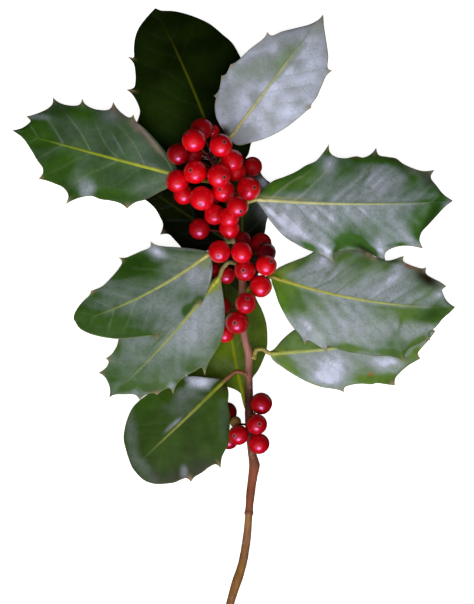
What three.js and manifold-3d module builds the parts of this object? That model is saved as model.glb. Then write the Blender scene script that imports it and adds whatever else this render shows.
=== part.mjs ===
// A sprig of holly, cut and laid on a flat surface: a woody twig, twelve spiny leaves and three clusters
// of berries.
// Millimetres. +Z is up, +Y runs along the twig to its growing end, and the origin is the bottom centre.
import * as THREE from 'three';
import { mergeVertices } from 'three/addons/utils/BufferGeometryUtils.js';
import Module from 'manifold-3d';

const wasm = await Module();
wasm.setup();

// Driving dimensions.
const bladeThickness = 0.8; // at the midrib
const edgeThickness = 0.4; // at the margin
const petioleRadius = 0.85; // where the petiole leaves the twig
const keelRoot = 0.9; // share of the petiole's radius that the keel starts with
const keelRadius = 0.45; // where the midrib's keel runs out under the blade
const keelReach = 0.4; // share of the blade's length that has a keel
const keelStops = [0.02, 0.2, keelReach]; // shares of the blade's length where the keel is shaped
const keelDepth = 0.5; // of the keel's centre below the top of the blade
const veinLean = 0.35; // how far a side vein runs forwards for each mm outwards
const veinGap = 0.25; // least distance between the roots of two side veins
const stalkRadius = 0.45; // of a berry's stalk
const stalkFlare = 1.3; // how much wider the stalk is at its berry
const stalkFoot = 1.2; // how much wider it is at the bark
const calyxRadius = 1.1; // of the dry cup on a stalk that has lost its berry
const calyxReach = 0.35; // share of a bare stalk that the cup takes up
const berryRings = [0, 28, 56, 84, 112, 140]; // degrees from the flower scar
const stalkStart = 1.02; // how far the stalk starts from its berry's centre, in radii
const stalkSteps = 3;
const seatGap = 0.55; // between the end of a berry's stalk and the bark
const elbowShare = 0.3; // share of a stalk that runs straight out of its berry before it bends
const ribSteps = [0, 0.6, 1]; // from the midrib out to the margin
const smoothReach = 2; // neighbours on each side that smooth a point of the margin
const weldDistance = 1e-4;
const twigSides = 10;
const berrySides = 8;
const stalkSides = 6;

const finishes = {
  bark: { color: 0x8f6259, roughness: 0.7 },
  bud: { color: 0xb99a86, roughness: 0.8 },
  leaf: { color: 0x35591c, roughness: 0.35 },
  paleLeaf: { color: 0x5e7550, roughness: 0.4 },
  berry: { color: 0xd3122c, roughness: 0.2 },
  calyx: { color: 0x9a8b5a, roughness: 0.8 },
};

// The twig's centre line from the cut end to the growing end, with its radius: [x, y, z, radius].
const twigRun = [
  [-4.2, -124.4, 1.65, 1.6], [-1.7, -114.8, 2.35, 1.6], [0.3, -107.9, 2.9, 1.85],
  [1.2, -105.2, 3.2, 1.95], [2.1, -102.4, 3.5, 1.8], [3.3, -98.2, 3.85, 1.72], [4.9, -88.6, 4.6, 1.62],
  [5.5, -82.4, 5.1, 1.5], [5.7, -79.6, 5.3, 1.5], [5.75, -78.5, 5.4, 1.7], [5.85, -77.2, 5.5, 1.52],
  [6.3, -71.8, 5.95, 1.7], [7.2, -64.6, 6.6, 1.82], [7.9, -59.6, 7.1, 2.1], [7.1, -54.6, 7.6, 1.7],
  [6, -45.2, 8.8, 1.65], [5.9, -36, 9.9, 1.7], [5.9, -29.8, 10.5, 1.5], [5.7, -21.6, 11.5, 1.5],
  [5.6, -14.8, 12.3, 1.6], [4, -7.6, 12.9, 1.45], [3, 2.8, 13.6, 1.5], [3.3, 12.8, 14.3, 1.6],
  [2.6, 22, 14.8, 1.5], [0.6, 30.8, 15.3, 1.55], [-1.4, 40.8, 15.8, 1.45], [-3.4, 50.8, 16.3, 1.4],
  [-6.6, 58.8, 16.9, 1.3], [-8.6, 62.4, 17.3, 1.15],
];

// The dry bud at the growing end carries on the line of the twig and narrows to a point.
const budRun = [
  [-8.95, 63.05, 17.45, 0.8], [-9.5, 64.1, 18.1, 1.15], [-10.1, 65.2, 18.9, 0.8], [-10.5, 66, 19.6, 0],
];

// Each leaf, seen from above. base and tip are the two ends of the blade on its midrib, with their height.
// arch lifts the middle of the midrib, bend moves it to the left, fold drops both halves away from it,
// curl drops them further towards the margin, and roll tips the blade up on its left.
// petiole runs from the twig to the blade. left and right are the margins from base to tip:
// a point with a third number is a spine, and that number is how far the margin is lifted there.
const leaves = {
  leaf_top_back: {
    base: [-4.5, 58.5, 13.4], tip: [-31.7, 123.8, 0.8],
    arch: 3.2, bend: -1.4, fold: 0.08, curl: 0.006, roll: 0,
    petiole: [[-3.6, 50.2, 13.6], [-3.9, 54, 13.4]],
    left: [[-9.6, 56.2], [-16, 55.4], [-23.4, 57.2], [-29.6, 61.6], [-34.6, 67.6], [-38.4, 73],
      [-39.6, 76.4], [-38.5, 79.4], [-37.8, 82.4], [-39.2, 86.5], [-41.3, 89.6], [-43.4, 91.1, 0.6],
      [-40.2, 92], [-39.6, 94.6], [-39.7, 98], [-40.4, 101.6], [-42.8, 104.3, 0], [-40.4, 104],
      [-40.3, 107.6], [-39.8, 111.9], [-38.4, 115.7], [-35.5, 119.7]],
    right: [[0.4, 60], [5.2, 64.6], [6.7, 69.6], [9.6, 74.6, 0], [7.2, 75.4], [7, 81], [9.8, 86.4, 0],
      [7.2, 87], [6.6, 93], [7.8, 98.6, 0.5], [5.4, 98.8], [2.4, 104], [-1, 109.8], [-4.8, 113.2],
      [-9.6, 117.2], [-13.8, 119.4], [-19.9, 121.6], [-24.7, 122.6], [-29.8, 122.9]],
  },
  leaf_top_front: {
    base: [-1.7, 71.6, 17.6], tip: [35.5, 121.3, 10.5],
    arch: 4.6, bend: 0, fold: 0.1, curl: 0.006, roll: 0.06,
    petiole: [[-5.9, 61.9, 16.5], [-4.6, 63.4, 16.6], [-3.2, 66.8, 17]],
    left: [[-5, 75.4], [-7.4, 80], [-7.8, 85], [-7.4, 88], [-8.3, 88.4, 1], [-6.5, 90.2], [-5.5, 94],
      [-5.2, 96.6, -0.6], [-3.6, 97], [-2.3, 99.2], [-1.5, 101.1, 0.8], [0.5, 101.9], [6.4, 107.3],
      [12, 111.8], [13.2, 114, 0], [14.8, 112.6], [19, 114.2], [25, 115.7], [30.4, 117.2], [33.8, 119.2]],
    right: [[-0.2, 69.4], [2.2, 68.7], [5.8, 69.6], [11.2, 71], [16.6, 73.4], [21, 76], [25, 79.1],
      [28.9, 82.4], [30.6, 83.6, 0.4], [30.8, 85], [32.8, 87.8], [35.2, 93.2], [36.8, 96.6],
      [39.2, 98.7, -0.6], [37.4, 99.6], [37.5, 104.6], [36.6, 111.2], [35.8, 116.6]],
  },
  leaf_upper_left: {
    base: [-22, 56.5, 15.8], tip: [-89.1, 74.8, 0.85],
    arch: 3.8, bend: 0.3, fold: 0.08, curl: 0.005, roll: 0.03,
    petiole: [[-7.3, 54, 16.4], [-13, 54.6, 16.8]],
    left: [[-24, 53.4], [-26.6, 51.6], [-30, 50], [-35.2, 47.2], [-39.9, 45.8], [-42.9, 43.4, 0.8],
      [-45.4, 45.4], [-49.4, 46.6], [-53.6, 47.2], [-57.2, 48.5], [-60.3, 48.2], [-64.2, 47],
      [-67.7, 45.2, -0.4], [-66.6, 48.8], [-68.5, 51.8], [-71.8, 53.4], [-75, 54.6], [-78.5, 55.4, 0.6],
      [-77, 57.2], [-76.8, 59.6], [-79.1, 62.9], [-81, 66.2], [-84.8, 71.7]],
    right: [[-24.6, 62.4], [-27.5, 66.2], [-32.7, 72.2], [-36.3, 75.8], [-39.4, 78.4], [-40.4, 81, 0.4],
      [-41.9, 79.8], [-46.4, 82.8], [-48.6, 86.2, -0.5], [-50, 83.2], [-54.4, 82.9], [-58, 84],
      [-60, 85.5], [-61, 87.6, 0.8], [-62, 85.1], [-64.6, 84.6], [-68.5, 85.2], [-71.1, 86.4],
      [-72.9, 88.2, -0.4], [-73, 85.4], [-75, 83.4], [-80, 81.2], [-83.4, 80.4, 0.4], [-81.6, 78.9],
      [-84.8, 75.9]],
  },
  leaf_upper_right: {
    base: [8.7, 47, 17.8], tip: [87.6, 46.6, 0.8],
    arch: 5.4, bend: -1.6, fold: 0.1, curl: 0.006, roll: -0.02,
    petiole: [[0.4, 43.2, 16.6], [4.6, 45.6, 17.2]],
    left: [[11.2, 50.3], [14.9, 54.1], [20.2, 56.2], [24.7, 58.2], [28.5, 60.6], [32.5, 62.4],
      [35.5, 65.8], [37.8, 69.3, 1], [38.2, 65.9], [40.4, 64.1], [44.3, 63.5], [48.8, 64.3], [51.4, 63.8],
      [54.6, 65.2], [56.8, 67.9, -0.6], [57.7, 64.9], [61.2, 64.1], [64.7, 63.5], [67.2, 61.6],
      [70.6, 59.9], [75.5, 58.4], [80.3, 59, 0.8], [78.7, 56], [81.2, 52.3], [84, 48.9]],
    right: [[10.6, 44], [13.5, 39.7], [16.3, 36.1], [20.2, 32.1], [24.7, 29.3], [28.6, 27.2], [34.2, 25.2],
      [39.7, 22, 1.5], [39.4, 25], [42.6, 26.4], [46.5, 27], [49.9, 26.9], [52.9, 26], [56.8, 24],
      [60.7, 21.6, -0.4], [60.3, 25.6], [62.6, 27.4], [66.7, 28.5], [71.2, 28.4], [75.6, 27.4, 0.8],
      [74.2, 30.4], [74.9, 33.8], [77.9, 37.2], [81.2, 40.8], [84.6, 44.4]],
  },
  leaf_middle_right: {
    base: [14.8, 16.2, 14.6], tip: [88.4, 4, 2],
    arch: 2.4, bend: -3.3, fold: 0.06, curl: 0.004, roll: 0,
    petiole: [[5.7, 11.4, 13.8], [9.9, 13.5, 13.6]],
    left: [[17.2, 19.4], [20, 20.9], [24.5, 22.7], [28.8, 24.4], [32, 26.4], [35, 29, -0.4], [36.6, 27.6],
      [42, 27.2], [48, 27.2], [51.6, 28.2, -0.4], [53.9, 25.6, -0.3], [56, 24.1, 0], [60.4, 22.6],
      [63, 22.8], [65.9, 23.8], [67.8, 24.4, 0.8], [67.6, 22.4], [69, 21.4], [71.7, 20.3], [75.2, 19.4],
      [76.9, 19.9, 0], [76.7, 17.4], [79.2, 15.6], [82.2, 14.1], [84.9, 12.3, 0.8], [83.2, 11],
      [83.8, 8.7], [85.4, 6]],
    right: [[15.2, 13], [16.1, 10.6], [17.7, 5.8], [21.3, -1], [24.4, -5.2], [26.6, -7.8],
      [28.2, -11.2, 0.6], [29.2, -9.4], [32.8, -11.2], [37.1, -13.8, 0], [37.4, -11.7], [40.4, -12.4],
      [45.6, -14], [51, -14.6], [56.5, -15.5], [61.9, -15.6], [66.2, -16.8], [68.5, -18.7, 0.8],
      [68.1, -15], [70.4, -12.2], [74, -10.6], [76, -9.4], [78.6, -9.4, -0.3], [77.5, -6.7], [80.8, -3.9],
      [83.5, -0.6], [86.4, 1.9]],
  },
  leaf_lower_right: {
    base: [14.2, -14.6, 12.2], tip: [80.5, -5.6, 0.8],
    arch: -0.6, bend: -1.6, fold: 0.05, curl: 0.004, roll: -0.02,
    petiole: [[7.9, -15.3, 12.5], [9, -13.1, 12.9], [11.4, -12.9, 12.7]],
    left: [[15.6, -13], [19.3, -8.9], [23.7, -5.3], [29, -2.6], [33, 0.2, 0], [35, -2.2], [42, -1.4],
      [48, -0.2], [52, 2, 0], [54, -1], [60, -1], [66, -0.2], [70, 1.6, 0], [70.6, -1.6], [75.4, -3.6]],
    right: [[15.6, -17.4], [19.3, -20.2], [24.8, -23.7], [29.7, -26.2], [34.7, -28], [40.9, -29],
      [43.9, -30.1, 0.3], [44, -28.3], [46.3, -27.3], [51, -26.7], [54.6, -27], [57, -26.5], [61, -27],
      [64.3, -27.4, -0.2], [64.4, -24.7], [66.1, -22.5], [69.4, -19.6], [72, -18], [74.6, -16.6, 0.4],
      [73.5, -14.5], [75.2, -12.2], [77.9, -9.1]],
  },
  leaf_middle_left: {
    base: [-10, 25.4, 20], tip: [-63.7, -2, 8.6],
    arch: 2.6, bend: 2.9, fold: 0.04, curl: 0.003, roll: 0.07,
    petiole: [[-1.1, 30.4, 16.5], [-5.4, 29.2, 18.2], [-8.2, 27, 19.4]],
    left: [[-9, 22], [-8.8, 19], [-9.3, 15.6], [-11, 9.8], [-12.8, 6], [-13.6, 4.4, 0], [-15.4, 5.2],
      [-17.8, 2.2], [-20.4, -0.7], [-23, -2.6], [-27, -5], [-29.4, -6.8], [-30.9, -9.2, 0.4],
      [-31.8, -7.7], [-36.7, -7.8], [-41.3, -8.4], [-46.8, -8.7], [-52.8, -8], [-58.4, -6.5], [-62, -4.5]],
    right: [[-12, 26.5], [-17, 27.4], [-22.5, 27.9], [-28.5, 28.3], [-31.4, 28.9], [-33.6, 30.3, 1.2],
      [-33.7, 28], [-37.7, 26.2], [-41.3, 24.6], [-43.8, 23.7], [-46.4, 23.9, 0], [-45, 21.9],
      [-46.3, 19.4], [-49.3, 15.8], [-52.8, 12.4], [-55.6, 11.1], [-57.4, 10.5, 0.8], [-58, 8.8],
      [-60.1, 6.8], [-62.4, 4.2], [-64, 1.4], [-64.4, -0.6]],
  },
  leaf_lower_left: {
    base: [-6, 16, 18.2], tip: [-50.2, -32.4, 5.6],
    arch: 1.6, bend: 1.6, fold: 0.05, curl: 0.004, roll: 0.03,
    petiole: [[0.8, 21.5, 16.5], [-2.4, 21.8, 19.2], [-4.8, 19.4, 19]],
    left: [[-5.3, 13.5], [-4.6, 9.1], [-3.9, 2.7], [-4.1, -4.2], [-5.7, -10.2], [-8.6, -15.3],
      [-10.9, -19.4], [-11.8, -23.3, 0.5], [-13, -20.2], [-16.5, -22], [-20, -23.9], [-22.9, -26.7],
      [-24.6, -30.9, 1.3], [-26, -28.5], [-29.2, -29.6], [-31, -31.2, 0], [-32.6, -30.4], [-36, -31.4],
      [-38, -33.2, 0.4], [-39.8, -31.2], [-44.5, -31], [-48.4, -31.2]],
    right: [[-9.2, 14.4], [-14, 10.4], [-21, 6.6], [-26.4, 6.4, 0], [-28.4, 2.8], [-35, -0.8],
      [-41.6, -1.4, 0], [-42.4, -4.6], [-46, -8.2], [-47.2, -11.8], [-49.3, -15], [-51.6, -16.6, 0.5],
      [-50.4, -17.9], [-51, -19.7], [-52.3, -21], [-54.5, -22.4, -0.4], [-52.2, -23.8], [-50.6, -26.4],
      [-49.8, -29.4]],
  },
  leaf_bottom_left: {
    base: [-4.4, -25.8, 11.6], tip: [-41, -60.4, 0.9],
    arch: 2.2, bend: 0.4, fold: 0.04, curl: 0.0045, roll: 0,
    petiole: [[3.7, -22.4, 12], [0.8, -21.8, 12.6], [-1.8, -23.4, 12.4]],
    left: [[-2.8, -28.2], [-2.4, -30.6], [-2.6, -34.4], [-1.8, -40.2], [-2.1, -46], [-2.5, -51],
      [-3.6, -53.1], [-5, -56], [-5.6, -60.7, 0.6], [-7.5, -59], [-10, -60], [-13, -62.3], [-16, -64.1],
      [-17.5, -66.1, 0], [-19.3, -64.6], [-21.3, -65.1], [-23.7, -66.2], [-28.4, -66.9], [-32.6, -66.8],
      [-36, -65.6], [-38.8, -63.2]],
    right: [[-5.6, -24.9], [-11.5, -24.1], [-17.3, -23.6], [-23, -24.6], [-28.4, -26.6], [-32, -28.4, 0],
      [-34.2, -30.6], [-37.9, -33.4], [-40.8, -36.4], [-42.9, -40.9], [-44, -45], [-44.4, -49],
      [-43.4, -53.6], [-42.3, -57.2]],
  },
  leaf_under_twig: {
    base: [4.4, -35, 6.6], tip: [-4.4, 30.6, 2.2],
    arch: 0.4, bend: 2.1, fold: 0.02, curl: 0.003, roll: 0,
    petiole: [[5.9, -39.8, 6.7], [5.2, -37.4, 6.7]],
    left: [[3.4, -32.2], [1.8, -30], [-1.6, -28.4], [-7, -27.2], [-13, -26.4], [-19.4, -25.4, 0],
      [-18.4, -20.8], [-19.6, -14.4], [-21.4, -10, 0], [-19, -8.2], [-18.2, -1], [-18.6, 4.2, 0],
      [-16.4, 8], [-15, 14], [-14.6, 19.6, 0], [-12.4, 22], [-8.6, 27]],
    right: [[5.3, -33.4], [6, -29], [7.3, -24.4], [9.3, -21.6], [11.6, -16.8], [12.9, -12.6], [13.1, -7.6],
      [12.6, -2.3], [10.8, 3.1], [8.6, 7.4], [7.6, 11.6, 0], [6.6, 14], [6.8, 18.6], [5, 23.4], [0.4, 28]],
  },
  leaf_under_left: {
    base: [-4.6, 32, 13], tip: [-46.5, 61, 3.4],
    arch: 0, bend: 1, fold: 0.05, curl: 0.004, roll: 0,
    petiole: [[-1.6, 31.4, 14.6], [-3, 31.5, 13.8]],
    left: [[-6.4, 29], [-12, 26.2], [-17, 25.4], [-19.4, 24.6, 0], [-21.4, 28], [-24, 31], [-26.4, 33.2],
      [-29.8, 33, 0.3], [-28.6, 37], [-29.8, 40.2], [-32.2, 44], [-35.6, 46.9], [-39.4, 48.8, 0],
      [-40.4, 51.6], [-43, 55.6]],
    right: [[-3.9, 36.4], [-4.4, 42.4], [-5, 48.4], [-7, 54.6], [-10.8, 59], [-16, 62.6, 0], [-18.4, 59.8],
      [-24, 59.4], [-29, 61.4, 0], [-32.4, 59], [-39.6, 61]],
  },
  leaf_under_right: {
    base: [2.8, 8.5, 11], tip: [3.2, 65, 4.6],
    arch: 0, bend: 0, fold: 0.05, curl: 0.004, roll: 0,
    petiole: [[3.1, 2.6, 10.8], [3, 5.6, 10.8]],
    left: [[1.4, 10.2], [-1.6, 13.4], [-3.4, 18], [-4.6, 22.6, 0], [-5, 26], [-7, 31], [-8.4, 36.6],
      [-9.8, 40.6, 0], [-8.2, 44], [-8.4, 50], [-9.6, 54.8, 0], [-6.4, 56], [-2.2, 60]],
    right: [[4.6, 10.4], [7.4, 13.6], [9.6, 17.4], [11, 22, 0], [10.8, 26], [11, 30], [12.1, 34],
      [13.2, 39.6], [16.8, 44.2, 0], [15.4, 47.6], [14.6, 53.4], [12.4, 55.2], [10.4, 57.9], [10, 61, 0],
      [8, 60.4], [5.6, 62.6]],
  },
};

// Each berry: its centre and radius, where its flower scar points (as shares of the radius along X and Y),
// and how far along the twig its stalk starts.
const berries = {
  berry_top: [
    [-13.1, 75.2, 21, 4.3, -0.2, 0.6, 60], [-16.3, 70.6, 28.4, 4.6, -0.53, 0.55, 59.5],
    [-8.6, 74.5, 15.7, 2.65, -0.2, 0.96, 61.9], [-5.4, 68.5, 31.6, 4.4, 0.3, 0.27, 60.5],
    [-22.6, 65.2, 21.5, 4.2, -0.5, 0.6, 59], [-16.2, 65, 16.6, 3.7, -0.5, 0.5, 58.8],
    [-15.6, 57.9, 26.8, 4.5, -0.45, 0.13, 58.2], [-0.9, 62.4, 26.5, 4.4, 0.88, 0.05, 58.5],
    [0.7, 58.1, 19.1, 3.8, 0.5, 0.2, 56.5], [7.1, 60.2, 14.8, 3.8, 0.7, 0.3, 54.5],
    [-6.2, 56.3, 31, 4.5, 0.49, -0.12, 52.5], [-22.8, 54.3, 21.6, 4.5, -0.9, -0.25, 56.6],
    [5.7, 51.3, 24, 4.6, 0.46, 0.07, 48.5], [-20.3, 49, 14.8, 3.9, -0.8, 0, 50],
    [-13.1, 47.4, 26.2, 4.7, -0.09, -0.51, 51.8], [-4.4, 50.4, 24, 4.3, -0.4, 0.06, 50.5],
    [1.3, 44.1, 35, 4.1, 0.3, -0.49, 44.5], [-8, 40.9, 22.2, 4, -0.5, 0.2, 42],
    [-2.1, 39.7, 28.6, 3.9, 0.2, 0, 40], [-2, 35.3, 21.9, 4, 0.1, 0.1, 36.5],
    [-14, 35.3, 16.6, 4.1, -0.9, 0.1, 33.6], [-8.2, 48, 17.6, 2.9, -0.6, 0, 46.5],
  ],
  berry_middle: [
    [-6.1, 26.1, 26, 4.3, -0.07, -0.45, 24.5], [2.9, 25.8, 26, 4.1, 0.05, -0.2, 25],
    [3.4, 31, 19.8, 3.1, 0.5, 0.2, 29.5], [10.6, 29.4, 12.6, 4.1, 0.8, 0.3, 27.5],
    [12.6, 25.8, 19.6, 3.8, 0.8, 0.1, 24], [12.7, 20.6, 25.8, 4, 0.53, 0.2, 25],
    [4.2, 18.7, 21.2, 4.2, -0.12, 0.09, 18], [-3.2, 16.8, 14.8, 3.5, -0.5, -0.2, 15],
    [-8.2, 18.6, 11.2, 3, -0.98, 0, 18.5], [10.5, 12.3, 20.6, 4.3, 0.4, -0.2, 15.5],
    [4.5, 5.5, 22.8, 4.1, 0.12, 0.42, 7], [1, -2.2, 19.8, 4.5, -0.2, -0.04, -0.8],
    [-4.5, 4.3, 11.4, 3.2, -0.7, 0.2, 4.5], [-3.8, -6.6, 10.2, 3.6, -0.6, -0.5, -3.5],
  ],
  berry_low: [
    [10.7, -34.6, 14.2, 4.2, 0.45, 0.6, -40], [8.9, -42.9, 17, 4, 0.26, 0.02, -42],
    [9.8, -50.7, 13.2, 4, 0.4, -0.75, -45.5], [1.6, -47.2, 12.2, 3.9, -0.45, -0.1, -44.5],
    [-2.2, -49.5, 4.6, 3.4, -0.6, -0.3, -46.5], [-3.1, -38.2, 5.2, 3.9, -0.2, 0.8, -45.2],
    [0.4, -42, 8.6, 2.2, -0.5, 0.3, -43.2],
  ],
};

// Bare stalks: the outer end, and how far along the twig each starts.
const bareStalks = [[-3.6, 31.4, 19.6, 33.5], [-0.6, 30.6, 19.8, 31.5]];

const point = (values) => new THREE.Vector3(values[0], values[1], values[2]);

// A closed round body along a path, with one radius for each point. A radius of nought closes an end.
function sweep(points, radii, sides) {
  const rings = [];
  let across = new THREE.Vector3(0.31, 0.2, 0.93);
  points.forEach((centre, i) => {
    const from = points.slice(0, i + 1).reverse().find((other) => other.distanceTo(centre) > 1e-6) ?? centre;
    const to = points.slice(i).find((other) => other.distanceTo(centre) > 1e-6) ?? centre;
    const along = to.clone().sub(from).normalize();
    across = across.clone().addScaledVector(along, -across.dot(along)).normalize();
    const other = along.clone().cross(across);
    const ring = [];
    for (let k = 0; k < sides; k += 1) {
      const angle = (2 * Math.PI * k) / sides;
      ring.push(centre.clone().addScaledVector(across, radii[i] * Math.cos(angle))
        .addScaledVector(other, radii[i] * Math.sin(angle)));
    }
    rings.push(ring);
  });
  const triangles = [];
  for (let i = 1; i < rings.length; i += 1) {
    for (let k = 0; k < sides; k += 1) {
      const next = (k + 1) % sides;
      addQuad(triangles, rings[i - 1][k], rings[i - 1][next], rings[i][next], rings[i][k]);
    }
  }
  return closedGeometry(triangles);
}

function addQuad(triangles, a, b, c, d) {
  triangles.push([a, b, c], [a, c, d]);
}

// A geometry with shared vertices, without the triangles that have shrunk to a line.
function closedGeometry(triangles) {
  const same = (a, b) => a.distanceTo(b) < weldDistance;
  const kept = triangles.filter(([a, b, c]) => !same(a, b) && !same(b, c) && !same(c, a));
  const geometry = new THREE.BufferGeometry().setFromPoints(kept.flat());
  return mergeVertices(geometry, weldDistance);
}

function solidOf(geometry) {
  const vertProperties = Float32Array.from(geometry.attributes.position.array);
  const triVerts = Uint32Array.from(geometry.index.array);
  return new wasm.Manifold(new wasm.Mesh({ numProp: 3, vertProperties, triVerts }));
}

function joined(first, second) {
  const mesh = solidOf(first).add(solidOf(second)).getMesh();
  const geometry = new THREE.BufferGeometry();
  geometry.setAttribute('position', new THREE.BufferAttribute(mesh.vertProperties, 3));
  geometry.setIndex(new THREE.BufferAttribute(mesh.triVerts, 1));
  return geometry;
}

// The twig's centre and radius at a distance along Y.
function twigAt(y) {
  const next = Math.max(1, twigRun.findIndex((stop) => stop[1] >= y));
  const [low, high] = [twigRun[next - 1], twigRun[next]];
  const share = (y - low[1]) / (high[1] - low[1]);
  const mixed = low.map((value, k) => value + share * (high[k] - value));
  return { centre: point(mixed), radius: mixed[3] };
}

// Where a stalk from `outer` meets the bark at `y` along the twig, one seat gap clear of it.
function seatOn(y, outer) {
  const { centre, radius } = twigAt(y);
  const { centre: ahead } = twigAt(y + 1);
  const along = ahead.sub(centre).normalize();
  const side = outer.clone().sub(centre);
  side.addScaledVector(along, -side.dot(along)).normalize();
  return centre.addScaledVector(side, radius + seatGap);
}

// The twig or its bud: the stops of its run, with a flat face at each end that has a radius.
function makeStem(run) {
  const points = run.map(point);
  const radii = run.map((stop) => stop[3]);
  return sweep([points[0], ...points, points.at(-1)], [0, ...radii, 0], twigSides);
}

// A berry is a sphere that starts at its flower scar and runs on into the stalk.
function makeBerry([x, y, z, radius, scarX, scarY, start]) {
  const centre = new THREE.Vector3(x, y, z);
  const scar = new THREE.Vector3(scarX, scarY, Math.sqrt(1 - scarX ** 2 - scarY ** 2));
  const points = [];
  const radii = [];
  for (const degrees of berryRings) {
    const angle = THREE.MathUtils.degToRad(degrees);
    points.push(centre.clone().addScaledVector(scar, radius * Math.cos(angle)));
    radii.push(radius * Math.sin(angle));
  }
  const foot = centre.clone().addScaledVector(scar, -stalkStart * radius);
  const twig = twigAt(start);
  const reach = elbowShare * (foot.distanceTo(twig.centre) - twig.radius);
  const elbow = foot.clone().addScaledVector(scar, -reach);
  const seat = seatOn(start, elbow);
  const stalk = new THREE.QuadraticBezierCurve3(foot, elbow, seat);
  points.push(...stalk.getPoints(stalkSteps), seat);
  radii.push(stalkRadius * stalkFlare, stalkRadius, stalkRadius, stalkRadius * stalkFoot, 0);
  return sweep(points, radii, berrySides);
}

function makeBareStalk([x, y, z, start]) {
  const end = new THREE.Vector3(x, y, z);
  const seat = seatOn(start, end);
  const neck = end.clone().lerp(seat, calyxReach);
  return sweep([end, end, neck, seat, seat], [0, calyxRadius, stalkRadius, stalkRadius, 0], stalkSides);
}

// The blade's own frame: along the chord from base to tip, and across to the left.
function frameOf(leaf) {
  const base = new THREE.Vector2(leaf.base[0], leaf.base[1]);
  const chord = new THREE.Vector2(leaf.tip[0], leaf.tip[1]).sub(base);
  const length = chord.length();
  const along = chord.divideScalar(length);
  const across = new THREE.Vector2(-along.y, along.x);
  return { base, length, along, across };
}

function toLocal(frame, x, y) {
  const offset = new THREE.Vector2(x, y).sub(frame.base);
  return [offset.dot(frame.along), offset.dot(frame.across)];
}

function toWorld(frame, along, across) {
  return frame.base.clone().addScaledVector(frame.along, along).addScaledVector(frame.across, across);
}

// How far the midrib stands to the left of the chord: a parabola.
const midribAcross = (leaf, share) => 4 * leaf.bend * share * (1 - share);

// Height of the blade: the arched midrib, less the fold and curl of the half that the point is on.
function bladeHeight(leaf, frame, along, across, lift) {
  const share = along / frame.length;
  const out = across - midribAcross(leaf, share);
  const chord = leaf.base[2] + share * (leaf.tip[2] - leaf.base[2]);
  const midrib = chord + 4 * leaf.arch * share * (1 - share);
  return midrib + leaf.roll * out - leaf.fold * Math.abs(out) - leaf.curl * out ** 2 + lift;
}

// A margin in the blade's frame as [along, across, lift]. Between spines the lift eases from one to the next.
function marginOf(frame, side, points) {
  const start = [0, side * petioleRadius, 0];
  const end = [frame.length, 0, 0];
  const margin = [start, ...points.map(([x, y, lift]) => [...toLocal(frame, x, y), lift]), end];
  const run = [0];
  for (let i = 1; i < margin.length; i += 1) {
    run.push(run[i - 1] + Math.hypot(margin[i][0] - margin[i - 1][0], margin[i][1] - margin[i - 1][1]));
  }
  const spines = margin.map((stop, i) => i).filter((i) => margin[i][2] !== undefined);
  for (let k = 1; k < spines.length; k += 1) {
    const [from, to] = [spines[k - 1], spines[k]];
    for (let i = from + 1; i < to; i += 1) {
      const share = (run[i] - run[from]) / (run[to] - run[from]);
      const eased = (1 - Math.cos(Math.PI * share)) / 2;
      margin[i][2] = margin[from][2] + eased * (margin[to][2] - margin[from][2]);
    }
  }
  return margin;
}

// Halves the longest steps of a margin until it has the wanted number of points.
function evenOut(margin, count) {
  const points = [...margin];
  while (points.length < count) {
    const steps = points.slice(1).map(([along, across], i) => (
      Math.hypot(along - points[i][0], across - points[i][1])));
    const longest = steps.indexOf(Math.max(...steps));
    const middle = points[longest].map((value, k) => (value + points[longest + 1][k]) / 2);
    points.splice(longest + 1, 0, middle);
  }
  return points;
}

// The margin with its spines smoothed away, which the inside of the blade follows.
function smoothed(margin) {
  const last = margin.length - 1;
  return margin.map((stop, i) => {
    const reach = Math.min(smoothReach, i, last - i);
    const near = margin.slice(i - reach, i + reach + 1);
    return [0, 1].map((k) => near.reduce((sum, other) => sum + other[k], 0) / near.length);
  });
}

// Where each side vein leaves the midrib: behind its margin point, and always further on than the last.
function veinRoots(frame, left, right) {
  const roots = [];
  const last = left.length - 1;
  left.forEach((stop, i) => {
    const leftRoot = stop[0] - veinLean * Math.abs(stop[1]);
    const rightRoot = right[i][0] - veinLean * Math.abs(right[i][1]);
    const least = i === 0 ? 0 : roots[i - 1] + veinGap;
    roots.push(Math.min(Math.max((leftRoot + rightRoot) / 2, least), frame.length - veinGap * (last - i)));
  });
  roots[0] = 0;
  roots[last] = frame.length;
  return roots;
}

// Half of a blade as rows of [top, bottom] points, one row for each vein, from the midrib to the margin.
function halfBlade(leaf, frame, margin, roots) {
  const inner = smoothed(margin);
  return margin.map((stop, i) => ribSteps.map((step) => {
    const root = [roots[i], midribAcross(leaf, roots[i] / frame.length)];
    const near = step < 1 ? inner[i] : stop;
    const along = root[0] + step * (near[0] - root[0]);
    const across = root[1] + step * (near[1] - root[1]);
    const top = bladeHeight(leaf, frame, along, across, stop[2] * step ** 2);
    const thickness = bladeThickness + step * (edgeThickness - bladeThickness);
    const place = toWorld(frame, along, across);
    return [new THREE.Vector3(place.x, place.y, top), new THREE.Vector3(place.x, place.y, top - thickness)];
  }));
}

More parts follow.
